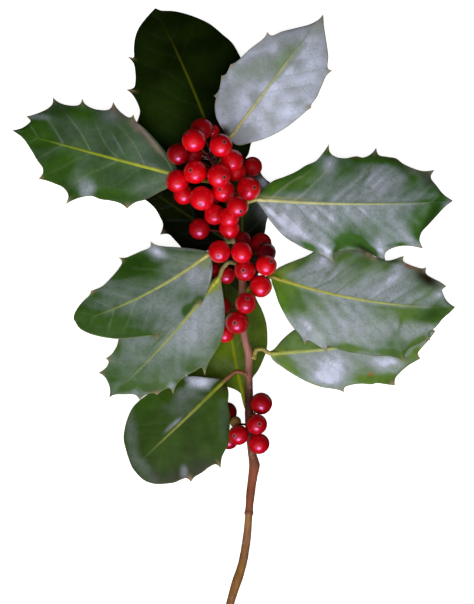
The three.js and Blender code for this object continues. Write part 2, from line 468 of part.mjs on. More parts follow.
// Both faces, the margin and the blunt end of one half. A right half is wound the other way round.
function addHalf(triangles, rows, isLeft) {
  const add = (a, b, c, d) => (isLeft ? addQuad(triangles, a, b, c, d) : addQuad(triangles, d, c, b, a));
  const outer = ribSteps.length - 1;
  for (let i = 1; i < rows.length; i += 1) {
    const [back, front] = [rows[i - 1], rows[i]];
    for (let k = 0; k < outer; k += 1) {
      add(back[k][0], front[k][0], front[k + 1][0], back[k + 1][0]);
      add(back[k + 1][1], front[k + 1][1], front[k][1], back[k][1]);
    }
    add(back[outer][0], front[outer][0], front[outer][1], back[outer][1]);
  }
  for (let k = 0; k < outer; k += 1) {
    add(rows[0][k][0], rows[0][k + 1][0], rows[0][k + 1][1], rows[0][k][1]);
  }
}

// The petiole, which runs on under the blade as the keel of its midrib.
function makePetiole(leaf, frame) {
  const points = leaf.petiole.map(point);
  const radii = points.map(() => petioleRadius);
  for (const share of keelStops) {
    const along = share * frame.length;
    const across = midribAcross(leaf, share);
    const place = toWorld(frame, along, across);
    points.push(new THREE.Vector3(place.x, place.y, bladeHeight(leaf, frame, along, across, 0) - keelDepth));
    radii.push(THREE.MathUtils.lerp(petioleRadius * keelRoot, keelRadius, share / keelReach));
  }
  return sweep([points[0], ...points, points.at(-1)], [0, ...radii, 0], stalkSides);
}

function makeLeaf(leaf) {
  const frame = frameOf(leaf);
  const count = Math.max(leaf.left.length, leaf.right.length) + 2;
  const left = evenOut(marginOf(frame, 1, leaf.left), count);
  const right = evenOut(marginOf(frame, -1, leaf.right), count);
  const roots = veinRoots(frame, smoothed(left), smoothed(right));
  const triangles = [];
  addHalf(triangles, halfBlade(leaf, frame, left, roots), true);
  addHalf(triangles, halfBlade(leaf, frame, right, roots), false);
  return joined(closedGeometry(triangles), makePetiole(leaf, frame));
}

const sprig = new THREE.Group();

function addPiece(name, geometry, finish) {
  geometry.computeVertexNormals();
  const piece = new THREE.Mesh(geometry, new THREE.MeshStandardMaterial({ ...finish, metalness: 0 }));
  piece.name = name;
  sprig.add(piece);
}

addPiece('twig', makeStem(twigRun), finishes.bark);
addPiece('terminal_bud', makeStem(budRun), finishes.bud);
for (const [name, leaf] of Object.entries(leaves)) {
  addPiece(name, makeLeaf(leaf), name === 'leaf_top_front' ? finishes.paleLeaf : finishes.leaf);
}
for (const [cluster, places] of Object.entries(berries)) {
  places.forEach((place, i) => {
    addPiece(`${cluster}_${String(i + 1).padStart(2, '0')}`, makeBerry(place), finishes.berry);
  });
}
bareStalks.forEach((stalk, i) => addPiece(`bare_stalk_${i + 1}`, makeBareStalk(stalk), finishes.calyx));

export default sprig;
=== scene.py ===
import bmesh
import bpy
import numpy as np
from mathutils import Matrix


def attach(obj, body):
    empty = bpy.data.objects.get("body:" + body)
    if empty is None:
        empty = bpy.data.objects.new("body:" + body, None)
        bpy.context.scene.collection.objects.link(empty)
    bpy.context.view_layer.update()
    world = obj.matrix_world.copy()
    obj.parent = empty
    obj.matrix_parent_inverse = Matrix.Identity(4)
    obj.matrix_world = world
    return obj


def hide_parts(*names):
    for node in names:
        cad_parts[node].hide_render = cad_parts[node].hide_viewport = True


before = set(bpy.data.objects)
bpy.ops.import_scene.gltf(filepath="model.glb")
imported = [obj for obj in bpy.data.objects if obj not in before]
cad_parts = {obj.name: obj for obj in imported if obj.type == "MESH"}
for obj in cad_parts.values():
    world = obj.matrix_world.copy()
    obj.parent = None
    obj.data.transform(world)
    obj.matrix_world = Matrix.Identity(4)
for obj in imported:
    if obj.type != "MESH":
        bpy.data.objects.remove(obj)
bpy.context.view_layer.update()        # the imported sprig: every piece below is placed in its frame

mm = 0.001  # every table is in millimetres, every mesh in metres
circle = 2 * np.pi
weldDistance = 0.002  # points of one piece this close are one


def toLinear(hexColour):
    # sRGB to linear: channel / 12.92 up to 0.04045, above it ((channel + 0.055) / 1.055) to the power 2.4
    channels = np.array([int(hexColour[i:i + 2], 16) for i in (1, 3, 5)]) / 255
    return np.where(channels <= 0.04045, channels / 12.92, ((channels + 0.055) / 1.055) ** 2.4)


def rgba(hexColour):
    # The same with an alpha of 1, as a colour socket takes it
    return (*toLinear(hexColour), 1.0)


def ease(value, low, high):
    # 0 up to low, 1 from high, and 3 t^2 - 2 t^3 between them
    share = np.clip((value - low) / (high - low), 0, 1)
    return share * share * (3 - 2 * share)


def ripple(x, y, size, seed):
    # 1.7 times the mean of seven sine waves in random directions, each 0.6 to 1.6 times the size long,
    # which comes to about -1..1
    waves, spread = 7, 1.7
    draw = np.random.default_rng(seed)
    turn, phase = draw.uniform(0, circle, waves), draw.uniform(0, circle, waves)
    length = size * draw.uniform(0.6, 1.6, waves)
    across = x[..., None] * np.cos(turn) + y[..., None] * np.sin(turn)
    return spread * np.sin(circle * across / length + phase).mean(axis=-1)


def mixed(first, second, share):
    # Straight mix of two colours or two arrays of colours, by an array of shares
    return first + np.asarray(share)[..., None] * (np.asarray(second) - first)


def patches(x, y, spots):
    # Sum of soft ellipses [x, y, reach along, reach across, turn, amount]: amount * exp(-r^3), where r is
    # the distance as a share of the reach
    total = np.zeros_like(x)
    for spotX, spotY, reach, breadth, turn, amount in spots:
        angle = np.radians(turn)
        along = (x - spotX) * np.cos(angle) + (y - spotY) * np.sin(angle)
        across = (y - spotY) * np.cos(angle) - (x - spotX) * np.sin(angle)
        total += amount * np.exp(-np.hypot(along / reach, across / breadth) ** 3)
    return total


def throughPoints(points, corner, fineness):
    # Cubic Hermite pieces through the points, knots spaced by the square root of each step.
    # A point's slope is the mean of its two sides; at a corner each piece keeps its own slope.
    steps = np.diff(points, axis=0)
    gaps = np.sqrt(np.maximum(np.linalg.norm(steps, axis=1), 1e-9))[:, None]
    rates = steps / gaps
    slopes = np.concatenate([rates[:1], rates[:-1] * gaps[1:] + rates[1:] * gaps[:-1], rates[-1:]])
    slopes[1:-1] /= gaps[:-1] + gaps[1:]
    start, end = slopes[:-1].copy(), slopes[1:].copy()
    fromCorner, toCorner = corner[:-1, None], corner[1:, None]
    start = np.where(fromCorner, np.where(toCorner, rates, 1.5 * rates - 0.5 * end), start)
    end = np.where(toCorner, np.where(fromCorner, rates, 1.5 * rates - 0.5 * start), end)
    t = np.linspace(0, 1, fineness, endpoint=False)[None, :, None]
    bend = (t ** 3 - 2 * t ** 2 + t) * start[:, None] + (t ** 3 - t ** 2) * end[:, None]
    line = ((2 * t ** 3 - 3 * t ** 2 + 1) * points[:-1, None] + (3 * t ** 2 - 2 * t ** 3) * points[1:, None]
            + gaps[:, None] * bend)
    return np.concatenate([line.reshape(-1, points.shape[1]), points[-1:]])


def smoothPath(points, fineness):
    # The same curve without a corner, with so many steps from point to point
    points = np.array(points, float)
    return throughPoints(points, np.zeros(len(points), bool), fineness)


def distancesAlong(line):
    # The distance along a line to each of its points: the sum of the steps up to it
    return np.concatenate([[0], np.cumsum(np.linalg.norm(np.diff(line, axis=0), axis=1))])


def pointAt(line, run, distance):
    # The place on a flat line at a distance along it, straight between its points
    return np.stack([np.interp(distance, run, line[:, k]) for k in (0, 1)], axis=-1)


def onceRound(count):
    # The angles of so many equal steps once round
    return np.linspace(0, circle, count, endpoint=False)


def gridFaces(rows, columns):
    # Quads between neighbouring rows of a grid whose last column joins on to its first
    index = np.arange(rows * columns).reshape(rows, columns)
    index = np.concatenate([index, index[:, :1]], axis=1)
    corners = [index[:-1, :-1], index[:-1, 1:], index[1:, 1:], index[1:, :-1]]
    return np.stack(corners, axis=-1).reshape(-1, 4)


def shell(rings, material=0, **attributes):
    # A closed skin over rings of points: quads between the rings, turned so that the volume they enclose
    # is positive
    rows, columns = rings.shape[:2]
    points, faces = rings.reshape(-1, 3), gridFaces(rows, columns)
    a, b, c, d = (points[faces[:, k]] for k in range(4))
    volume = (a * np.cross(b, c)).sum() + (a * np.cross(c, d)).sum()
    material = np.broadcast_to(material, (rows - 1, columns)).ravel()
    if volume < 0:
        faces = faces[:, ::-1]
    return {"points": points, "faces": faces, "material": material,
            **{name: np.reshape(values, (len(points), -1)) for name, values in attributes.items()}}


def tube(path, radii, sides, reference, relief=None):
    # Ring k: centre k + radius * (cos a * side + sin a * up), side = reference x tangent, up = tangent x
    # side. Both ends run in to a point at their centre.
    path = np.asarray(path, float)
    tangent = np.gradient(path, axis=0)
    tangent /= np.linalg.norm(tangent, axis=1, keepdims=True)
    side = np.cross(reference, tangent)
    side /= np.linalg.norm(side, axis=1, keepdims=True)
    up = np.cross(tangent, side)
    angle = onceRound(sides)[None, :, None]
    spread = np.broadcast_to(np.reshape(radii, (len(path), -1)), (len(path), sides))[..., None]
    if relief is not None:
        spread = spread + relief[..., None]
    rings = path[:, None] + spread * (np.cos(angle) * side[:, None] + np.sin(angle) * up[:, None])
    poles = [np.broadcast_to(path[i], (1, sides, 3)) for i in (0, -1)]
    return np.concatenate([poles[0], rings, poles[1]])


def makePiece(name, shells, materials, replaced=()):
    # One mesh from closed shells: points and faces laid end to end, with doubled points at the poles merged
    starts = np.cumsum([0] + [len(part["points"]) for part in shells[:-1]])
    points = np.concatenate([part["points"] for part in shells])
    faces = np.concatenate([part["faces"] + start for part, start in zip(shells, starts)])
    mesh = bpy.data.meshes.new(name)
    mesh.from_pydata((points * mm).tolist(), [], faces.tolist())
    mesh.polygons.foreach_set("material_index", np.concatenate([part["material"] for part in shells]))
    for label in sorted({key for part in shells for key in part} - {"points", "faces", "material"}):
        width = next(part[label].shape[1] for part in shells if label in part)
        values = [part.get(label, np.zeros((len(part["points"]), width))) for part in shells]
        values = np.concatenate(values)
        if width == 3:
            layer = mesh.attributes.new(label, "FLOAT_COLOR", "POINT")
            layer.data.foreach_set("color", np.c_[values, np.ones(len(values))].ravel())
        else:
            layer = mesh.attributes.new(label, "FLOAT", "POINT")
            layer.data.foreach_set("value", values.ravel())
    for material in materials:
        mesh.materials.append(material)
    work = bmesh.new()
    work.from_mesh(mesh)
    bmesh.ops.remove_doubles(work, verts=work.verts, dist=weldDistance * mm)
    work.to_mesh(mesh)
    work.free()
    mesh.polygons.foreach_set("use_smooth", np.ones(len(mesh.polygons), bool))
    piece = bpy.data.objects.new(name, mesh)
    bpy.context.scene.collection.objects.link(piece)
    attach(piece, "root")
    if replaced:
        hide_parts(*replaced)
    return piece


def setInputs(tree, node, inputs):
    # An input named gets a link where its value is another node's output, and the plain value otherwise
    for key, value in inputs.items():
        if isinstance(value, bpy.types.NodeSocket):
            tree.links.new(value, node.inputs[key])
        else:
            node.inputs[key].default_value = value


def addNode(tree, kind, inputs, **settings):
    # Adds one shader node with its settings and links
    node = tree.nodes.new("ShaderNode" + kind)
    for key, value in settings.items():
        setattr(node, key, value)
    setInputs(tree, node, inputs)
    return node


def newMaterial(name, constants):
    # A Principled shader, with the values that are the same all over the surface set on its own sockets,
    # and the place on the object that its patterns read
    material = bpy.data.materials.new(name)
    material.use_nodes = True
    tree = material.node_tree
    shader = tree.nodes["Principled BSDF"]
    setInputs(tree, shader, constants)
    place = addNode(tree, "TexCoord", {}).outputs["Object"]
    return material, tree, shader, place


def scaleFor(size):
    # The scale of a noise whose pattern is this many mm across
    return 1 / (size * mm)


print("frame loaded:", len(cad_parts), "nodes")

# Leaves. Each is seen from above: base and tip are the ends of the blade on its midrib, with their height.
# arch lifts the middle of the midrib, bend moves it left, fold drops both halves away from it, curl drops
# them further towards the margin, roll tips the blade up on its left. petiole runs from the twig to the
# blade. left and right are the margins from base to tip; a third number makes the point a spine and lifts
# it.
leaves = {
    "leaf_top_back": {
        "base": [-4.5, 58.5, 13.4], "tip": [-31.7, 123.8, 0.8],
        "arch": 3.2, "bend": -1.4, "fold": 0.08, "curl": 0.006, "roll": 0,
        "petiole": [[-3.6, 50.2, 13.6], [-3.9, 54, 13.4]],
        "left": [[-9.6, 56.2], [-16, 55.4], [-23.4, 57.2], [-29.6, 61.6], [-34.6, 67.6], [-38.4, 73],
            [-39.6, 76.4], [-38.5, 79.4], [-37.8, 82.4], [-39.2, 86.5], [-41.3, 89.6], [-43.4, 91.1, 0.6],
            [-40.2, 92], [-39.6, 94.6], [-39.7, 98], [-40.4, 101.6], [-42.8, 104.3, 0], [-40.4, 104],
            [-40.3, 107.6], [-39.8, 111.9], [-38.4, 115.7], [-35.5, 119.7]],
        "right": [[0.4, 60], [5.2, 64.6], [6.7, 69.6], [9.6, 74.6, 0], [7.2, 75.4], [7, 81],
            [9.8, 86.4, 0], [7.2, 87], [6.6, 93], [7.8, 98.6, 0.5], [5.4, 98.8], [2.4, 104], [-1, 109.8],
            [-4.8, 113.2], [-9.6, 117.2], [-13.8, 119.4], [-19.9, 121.6], [-24.7, 122.6], [-29.8, 122.9]],
    },
    "leaf_top_front": {
        "base": [-1.7, 71.6, 17.6], "tip": [35.5, 121.3, 10.5],
        "arch": 4.6, "bend": 0, "fold": 0.1, "curl": 0.006, "roll": 0.06,
        "petiole": [[-5.9, 61.9, 16.5], [-4.6, 63.4, 16.6], [-3.2, 66.8, 17]],
        "left": [[-5, 75.4], [-7.4, 80], [-7.8, 85], [-7.4, 88], [-8.3, 88.4, 1], [-6.5, 90.2], [-5.5, 94],
            [-5.2, 96.6, -0.6], [-3.6, 97], [-2.3, 99.2], [-1.5, 101.1, 0.8], [0.5, 101.9], [6.4, 107.3],
            [12, 111.8], [13.2, 114, 0], [14.8, 112.6], [19, 114.2], [25, 115.7], [30.4, 117.2],
            [33.8, 119.2]],
        "right": [[-0.2, 69.4], [2.2, 68.7], [5.8, 69.6], [11.2, 71], [16.6, 73.4], [21, 76], [25, 79.1],
            [28.9, 82.4], [30.6, 83.6, 0.4], [30.8, 85], [32.8, 87.8], [35.2, 93.2], [36.8, 96.6],
            [39.2, 98.7, -0.6], [37.4, 99.6], [37.5, 104.6], [36.6, 111.2], [35.8, 116.6]],
    },
    "leaf_upper_left": {
        "base": [-22, 56.5, 15.8], "tip": [-89.1, 74.8, 0.85],
        "arch": 3.8, "bend": 0.3, "fold": 0.08, "curl": 0.005, "roll": 0.03,
        "petiole": [[-7.3, 54, 16.4], [-13, 54.6, 16.8]],
        "left": [[-24, 53.4], [-26.6, 51.6], [-30, 50], [-35.2, 47.2], [-39.9, 45.8], [-42.9, 43.4, 0.8],
            [-45.4, 45.4], [-49.4, 46.6], [-53.6, 47.2], [-57.2, 48.5], [-60.3, 48.2], [-64.2, 47],
            [-67.7, 45.2, -0.4], [-66.6, 48.8], [-68.5, 51.8], [-71.8, 53.4], [-75, 54.6],
            [-78.5, 55.4, 0.6], [-77, 57.2], [-76.8, 59.6], [-79.1, 62.9], [-81, 66.2], [-84.8, 71.7]],
        "right": [[-24.6, 62.4], [-27.5, 66.2], [-32.7, 72.2], [-36.3, 75.8], [-39.4, 78.4],
            [-40.4, 81, 0.4], [-41.9, 79.8], [-46.4, 82.8], [-48.6, 86.2, -0.5], [-50, 83.2],
            [-54.4, 82.9], [-58, 84], [-60, 85.5], [-61, 87.6, 0.8], [-62, 85.1], [-64.6, 84.6],
            [-68.5, 85.2], [-71.1, 86.4], [-72.9, 88.2, -0.4], [-73, 85.4], [-75, 83.4], [-80, 81.2],
            [-83.4, 80.4, 0.4], [-81.6, 78.9], [-84.8, 75.9]],
    },
    "leaf_upper_right": {
        "base": [8.7, 47, 17.8], "tip": [87.6, 46.6, 0.8],
        "arch": 5.4, "bend": -1.6, "fold": 0.1, "curl": 0.006, "roll": -0.02,
        "petiole": [[0.4, 43.2, 16.6], [4.6, 45.6, 17.2]],
        "left": [[11.2, 50.3], [14.9, 54.1], [20.2, 56.2], [24.7, 58.2], [28.5, 60.6], [32.5, 62.4],
            [35.5, 65.8], [37.8, 69.3, 1], [38.2, 65.9], [40.4, 64.1], [44.3, 63.5], [48.8, 64.3],
            [51.4, 63.8], [54.6, 65.2], [56.8, 67.9, -0.6], [57.7, 64.9], [61.2, 64.1], [64.7, 63.5],
            [67.2, 61.6], [70.6, 59.9], [75.5, 58.4], [80.3, 59, 0.8], [78.7, 56], [81.2, 52.3],
            [84, 48.9]],
        "right": [[10.6, 44], [13.5, 39.7], [16.3, 36.1], [20.2, 32.1], [24.7, 29.3], [28.6, 27.2],
            [34.2, 25.2], [39.7, 22, 1.5], [39.4, 25], [42.6, 26.4], [46.5, 27], [49.9, 26.9], [52.9, 26],
            [56.8, 24], [60.7, 21.6, -0.4], [60.3, 25.6], [62.6, 27.4], [66.7, 28.5], [71.2, 28.4],
            [75.6, 27.4, 0.8], [74.2, 30.4], [74.9, 33.8], [77.9, 37.2], [81.2, 40.8], [84.6, 44.4]],
    },
    "leaf_middle_right": {
        "base": [14.8, 16.2, 14.6], "tip": [88.4, 4, 2],
        "arch": 2.4, "bend": -3.3, "fold": 0.06, "curl": 0.004, "roll": 0,
        "petiole": [[5.7, 11.4, 13.8], [9.9, 13.5, 13.6]],
        "left": [[17.2, 19.4], [20, 20.9], [24.5, 22.7], [28.8, 24.4], [32, 26.4], [35, 29, -0.4],
            [36.6, 27.6], [42, 27.2], [48, 27.2], [51.6, 28.2, -0.4], [53.9, 25.6, -0.3], [56, 24.1, 0],
            [60.4, 22.6], [63, 22.8], [65.9, 23.8], [67.8, 24.4, 0.8], [67.6, 22.4], [69, 21.4],
            [71.7, 20.3], [75.2, 19.4], [76.9, 19.9, 0], [76.7, 17.4], [79.2, 15.6], [82.2, 14.1],
            [84.9, 12.3, 0.8], [83.2, 11], [83.8, 8.7], [85.4, 6]],
        "right": [[15.2, 13], [16.1, 10.6], [17.7, 5.8], [21.3, -1], [24.4, -5.2], [26.6, -7.8],
            [28.2, -11.2, 0.6], [29.2, -9.4], [32.8, -11.2], [37.1, -13.8, 0], [37.4, -11.7],
            [40.4, -12.4], [45.6, -14], [51, -14.6], [56.5, -15.5], [61.9, -15.6], [66.2, -16.8],
            [68.5, -18.7, 0.8], [68.1, -15], [70.4, -12.2], [74, -10.6], [76, -9.4], [78.6, -9.4, -0.3],
            [77.5, -6.7], [80.8, -3.9], [83.5, -0.6], [86.4, 1.9]],
    },
    "leaf_lower_right": {
        "base": [14.2, -14.6, 12.2], "tip": [80.5, -5.6, 0.8],
        "arch": -0.6, "bend": -1.6, "fold": 0.05, "curl": 0.004, "roll": -0.02,
        "petiole": [[7.9, -15.3, 12.5], [9, -13.1, 12.9], [11.4, -12.9, 12.7]],
        "left": [[15.6, -13], [19.3, -8.9], [23.7, -5.3], [29, -2.6], [33, 0.2, 0], [35, -2.2], [42, -1.4],
            [48, -0.2], [52, 2, 0], [54, -1], [60, -1], [66, -0.2], [70, 1.6, 0], [70.6, -1.6],
            [75.4, -3.6]],
        "right": [[15.6, -17.4], [19.3, -20.2], [24.8, -23.7], [29.7, -26.2], [34.7, -28], [40.9, -29],
            [43.9, -30.1, 0.3], [44, -28.3], [46.3, -27.3], [51, -26.7], [54.6, -27], [57, -26.5],
            [61, -27], [64.3, -27.4, -0.2], [64.4, -24.7], [66.1, -22.5], [69.4, -19.6], [72, -18],
            [74.6, -16.6, 0.4], [73.5, -14.5], [75.2, -12.2], [77.9, -9.1]],
    },
    "leaf_middle_left": {
        "base": [-10, 25.4, 20], "tip": [-63.7, -2, 8.6],
        "arch": 2.6, "bend": 2.9, "fold": 0.04, "curl": 0.003, "roll": 0.07,
        "petiole": [[-1.1, 30.4, 16.5], [-5.4, 29.2, 18.2], [-8.2, 27, 19.4]],
        "left": [[-9, 22], [-8.8, 19], [-9.3, 15.6], [-11, 9.8], [-12.8, 6], [-13.6, 4.4, 0], [-15.4, 5.2],
            [-17.8, 2.2], [-20.4, -0.7], [-23, -2.6], [-27, -5], [-29.4, -6.8], [-30.9, -9.2, 0.4],
            [-31.8, -7.7], [-36.7, -7.8], [-41.3, -8.4], [-46.8, -8.7], [-52.8, -8], [-58.4, -6.5],
            [-62, -4.5]],
        "right": [[-12, 26.5], [-17, 27.4], [-22.5, 27.9], [-28.5, 28.3], [-31.4, 28.9],
            [-33.6, 30.3, 1.2], [-33.7, 28], [-37.7, 26.2], [-41.3, 24.6], [-43.8, 23.7], [-46.4, 23.9, 0],
            [-45, 21.9], [-46.3, 19.4], [-49.3, 15.8], [-52.8, 12.4], [-55.6, 11.1], [-57.4, 10.5, 0.8],
            [-58, 8.8], [-60.1, 6.8], [-62.4, 4.2], [-64, 1.4], [-64.4, -0.6]],
    },
    "leaf_lower_left": {
        "base": [-6, 16, 18.2], "tip": [-50.2, -32.4, 5.6],
        "arch": 1.6, "bend": 1.6, "fold": 0.05, "curl": 0.004, "roll": 0.03,
        "petiole": [[0.8, 21.5, 16.5], [-2.4, 21.8, 19.2], [-4.8, 19.4, 19]],
        "left": [[-5.3, 13.5], [-4.6, 9.1], [-3.9, 2.7], [-4.1, -4.2], [-5.7, -10.2], [-8.6, -15.3],
            [-10.9, -19.4], [-11.8, -23.3, 0.5], [-13, -20.2], [-16.5, -22], [-20, -23.9], [-22.9, -26.7],
            [-24.6, -30.9, 1.3], [-26, -28.5], [-29.2, -29.6], [-31, -31.2, 0], [-32.6, -30.4],
            [-36, -31.4], [-38, -33.2, 0.4], [-39.8, -31.2], [-44.5, -31], [-48.4, -31.2]],
        "right": [[-9.2, 14.4], [-14, 10.4], [-21, 6.6], [-26.4, 6.4, 0], [-28.4, 2.8], [-35, -0.8],
            [-41.6, -1.4, 0], [-42.4, -4.6], [-46, -8.2], [-47.2, -11.8], [-49.3, -15],
            [-51.6, -16.6, 0.5], [-50.4, -17.9], [-51, -19.7], [-52.3, -21], [-54.5, -22.4, -0.4],
            [-52.2, -23.8], [-50.6, -26.4], [-49.8, -29.4]],
    },
    "leaf_bottom_left": {
        "base": [-4.4, -25.8, 11.6], "tip": [-41, -60.4, 0.9],
        "arch": 2.2, "bend": 0.4, "fold": 0.04, "curl": 0.0045, "roll": 0,
        "petiole": [[3.7, -22.4, 12], [0.8, -21.8, 12.6], [-1.8, -23.4, 12.4]],
        "left": [[-2.8, -28.2], [-2.4, -30.6], [-2.6, -34.4], [-1.8, -40.2], [-2.1, -46], [-2.5, -51],
            [-3.6, -53.1], [-5, -56], [-5.6, -60.7, 0.6], [-7.5, -59], [-10, -60], [-13, -62.3],
            [-16, -64.1], [-17.5, -66.1, 0], [-19.3, -64.6], [-21.3, -65.1], [-23.7, -66.2],
            [-28.4, -66.9], [-32.6, -66.8], [-36, -65.6], [-38.8, -63.2]],
        "right": [[-5.6, -24.9], [-11.5, -24.1], [-17.3, -23.6], [-23, -24.6], [-28.4, -26.6],
            [-32, -28.4, 0], [-34.2, -30.6], [-37.9, -33.4], [-40.8, -36.4], [-42.9, -40.9], [-44, -45],
            [-44.4, -49], [-43.4, -53.6], [-42.3, -57.2]],
    },
    "leaf_under_twig": {
        "base": [4.4, -35, 6.6], "tip": [-4.4, 30.6, 2.2],
        "arch": 0.4, "bend": 2.1, "fold": 0.02, "curl": 0.003, "roll": 0,
        "petiole": [[5.9, -39.8, 6.7], [5.2, -37.4, 6.7]],
        "left": [[3.4, -32.2], [1.8, -30], [-1.6, -28.4], [-7, -27.2], [-13, -26.4], [-19.4, -25.4, 0],
            [-18.4, -20.8], [-19.6, -14.4], [-21.4, -10, 0], [-19, -8.2], [-18.2, -1], [-18.6, 4.2, 0],
            [-16.4, 8], [-15, 14], [-14.6, 19.6, 0], [-12.4, 22], [-8.6, 27]],
        "right": [[5.3, -33.4], [6, -29], [7.3, -24.4], [9.3, -21.6], [11.6, -16.8], [12.9, -12.6],
            [13.1, -7.6], [12.6, -2.3], [10.8, 3.1], [8.6, 7.4], [7.6, 11.6, 0], [6.6, 14], [6.8, 18.6],
            [5, 23.4], [0.4, 28]],
    },
    "leaf_under_left": {
        "base": [-4.6, 32, 13], "tip": [-46.5, 61, 3.4],
        "arch": 0, "bend": 1, "fold": 0.05, "curl": 0.004, "roll": 0,
        "petiole": [[-1.6, 31.4, 14.6], [-3, 31.5, 13.8]],
        "left": [[-6.4, 29], [-12, 26.2], [-17, 25.4], [-19.4, 24.6, 0], [-21.4, 28], [-24, 31],
            [-26.4, 33.2], [-29.8, 33, 0.3], [-28.6, 37], [-29.8, 40.2], [-32.2, 44], [-35.6, 46.9],
            [-39.4, 48.8, 0], [-40.4, 51.6], [-43, 55.6]],
        "right": [[-3.9, 36.4], [-4.4, 42.4], [-5, 48.4], [-7, 54.6], [-10.8, 59], [-16, 62.6, 0],
            [-18.4, 59.8], [-24, 59.4], [-29, 61.4, 0], [-32.4, 59], [-39.6, 61]],
    },
    "leaf_under_right": {
        "base": [2.8, 8.5, 11], "tip": [3.2, 65, 4.6],
        "arch": 0, "bend": 0, "fold": 0.05, "curl": 0.004, "roll": 0,
        "petiole": [[3.1, 2.6, 10.8], [3, 5.6, 10.8]],
        "left": [[1.4, 10.2], [-1.6, 13.4], [-3.4, 18], [-4.6, 22.6, 0], [-5, 26], [-7, 31], [-8.4, 36.6],
            [-9.8, 40.6, 0], [-8.2, 44], [-8.4, 50], [-9.6, 54.8, 0], [-6.4, 56], [-2.2, 60]],
        "right": [[4.6, 10.4], [7.4, 13.6], [9.6, 17.4], [11, 22, 0], [10.8, 26], [11, 30], [12.1, 34],
            [13.2, 39.6], [16.8, 44.2, 0], [15.4, 47.6], [14.6, 53.4], [12.4, 55.2], [10.4, 57.9],
            [10, 61, 0], [8, 60.4], [5.6, 62.6]],
    },
}

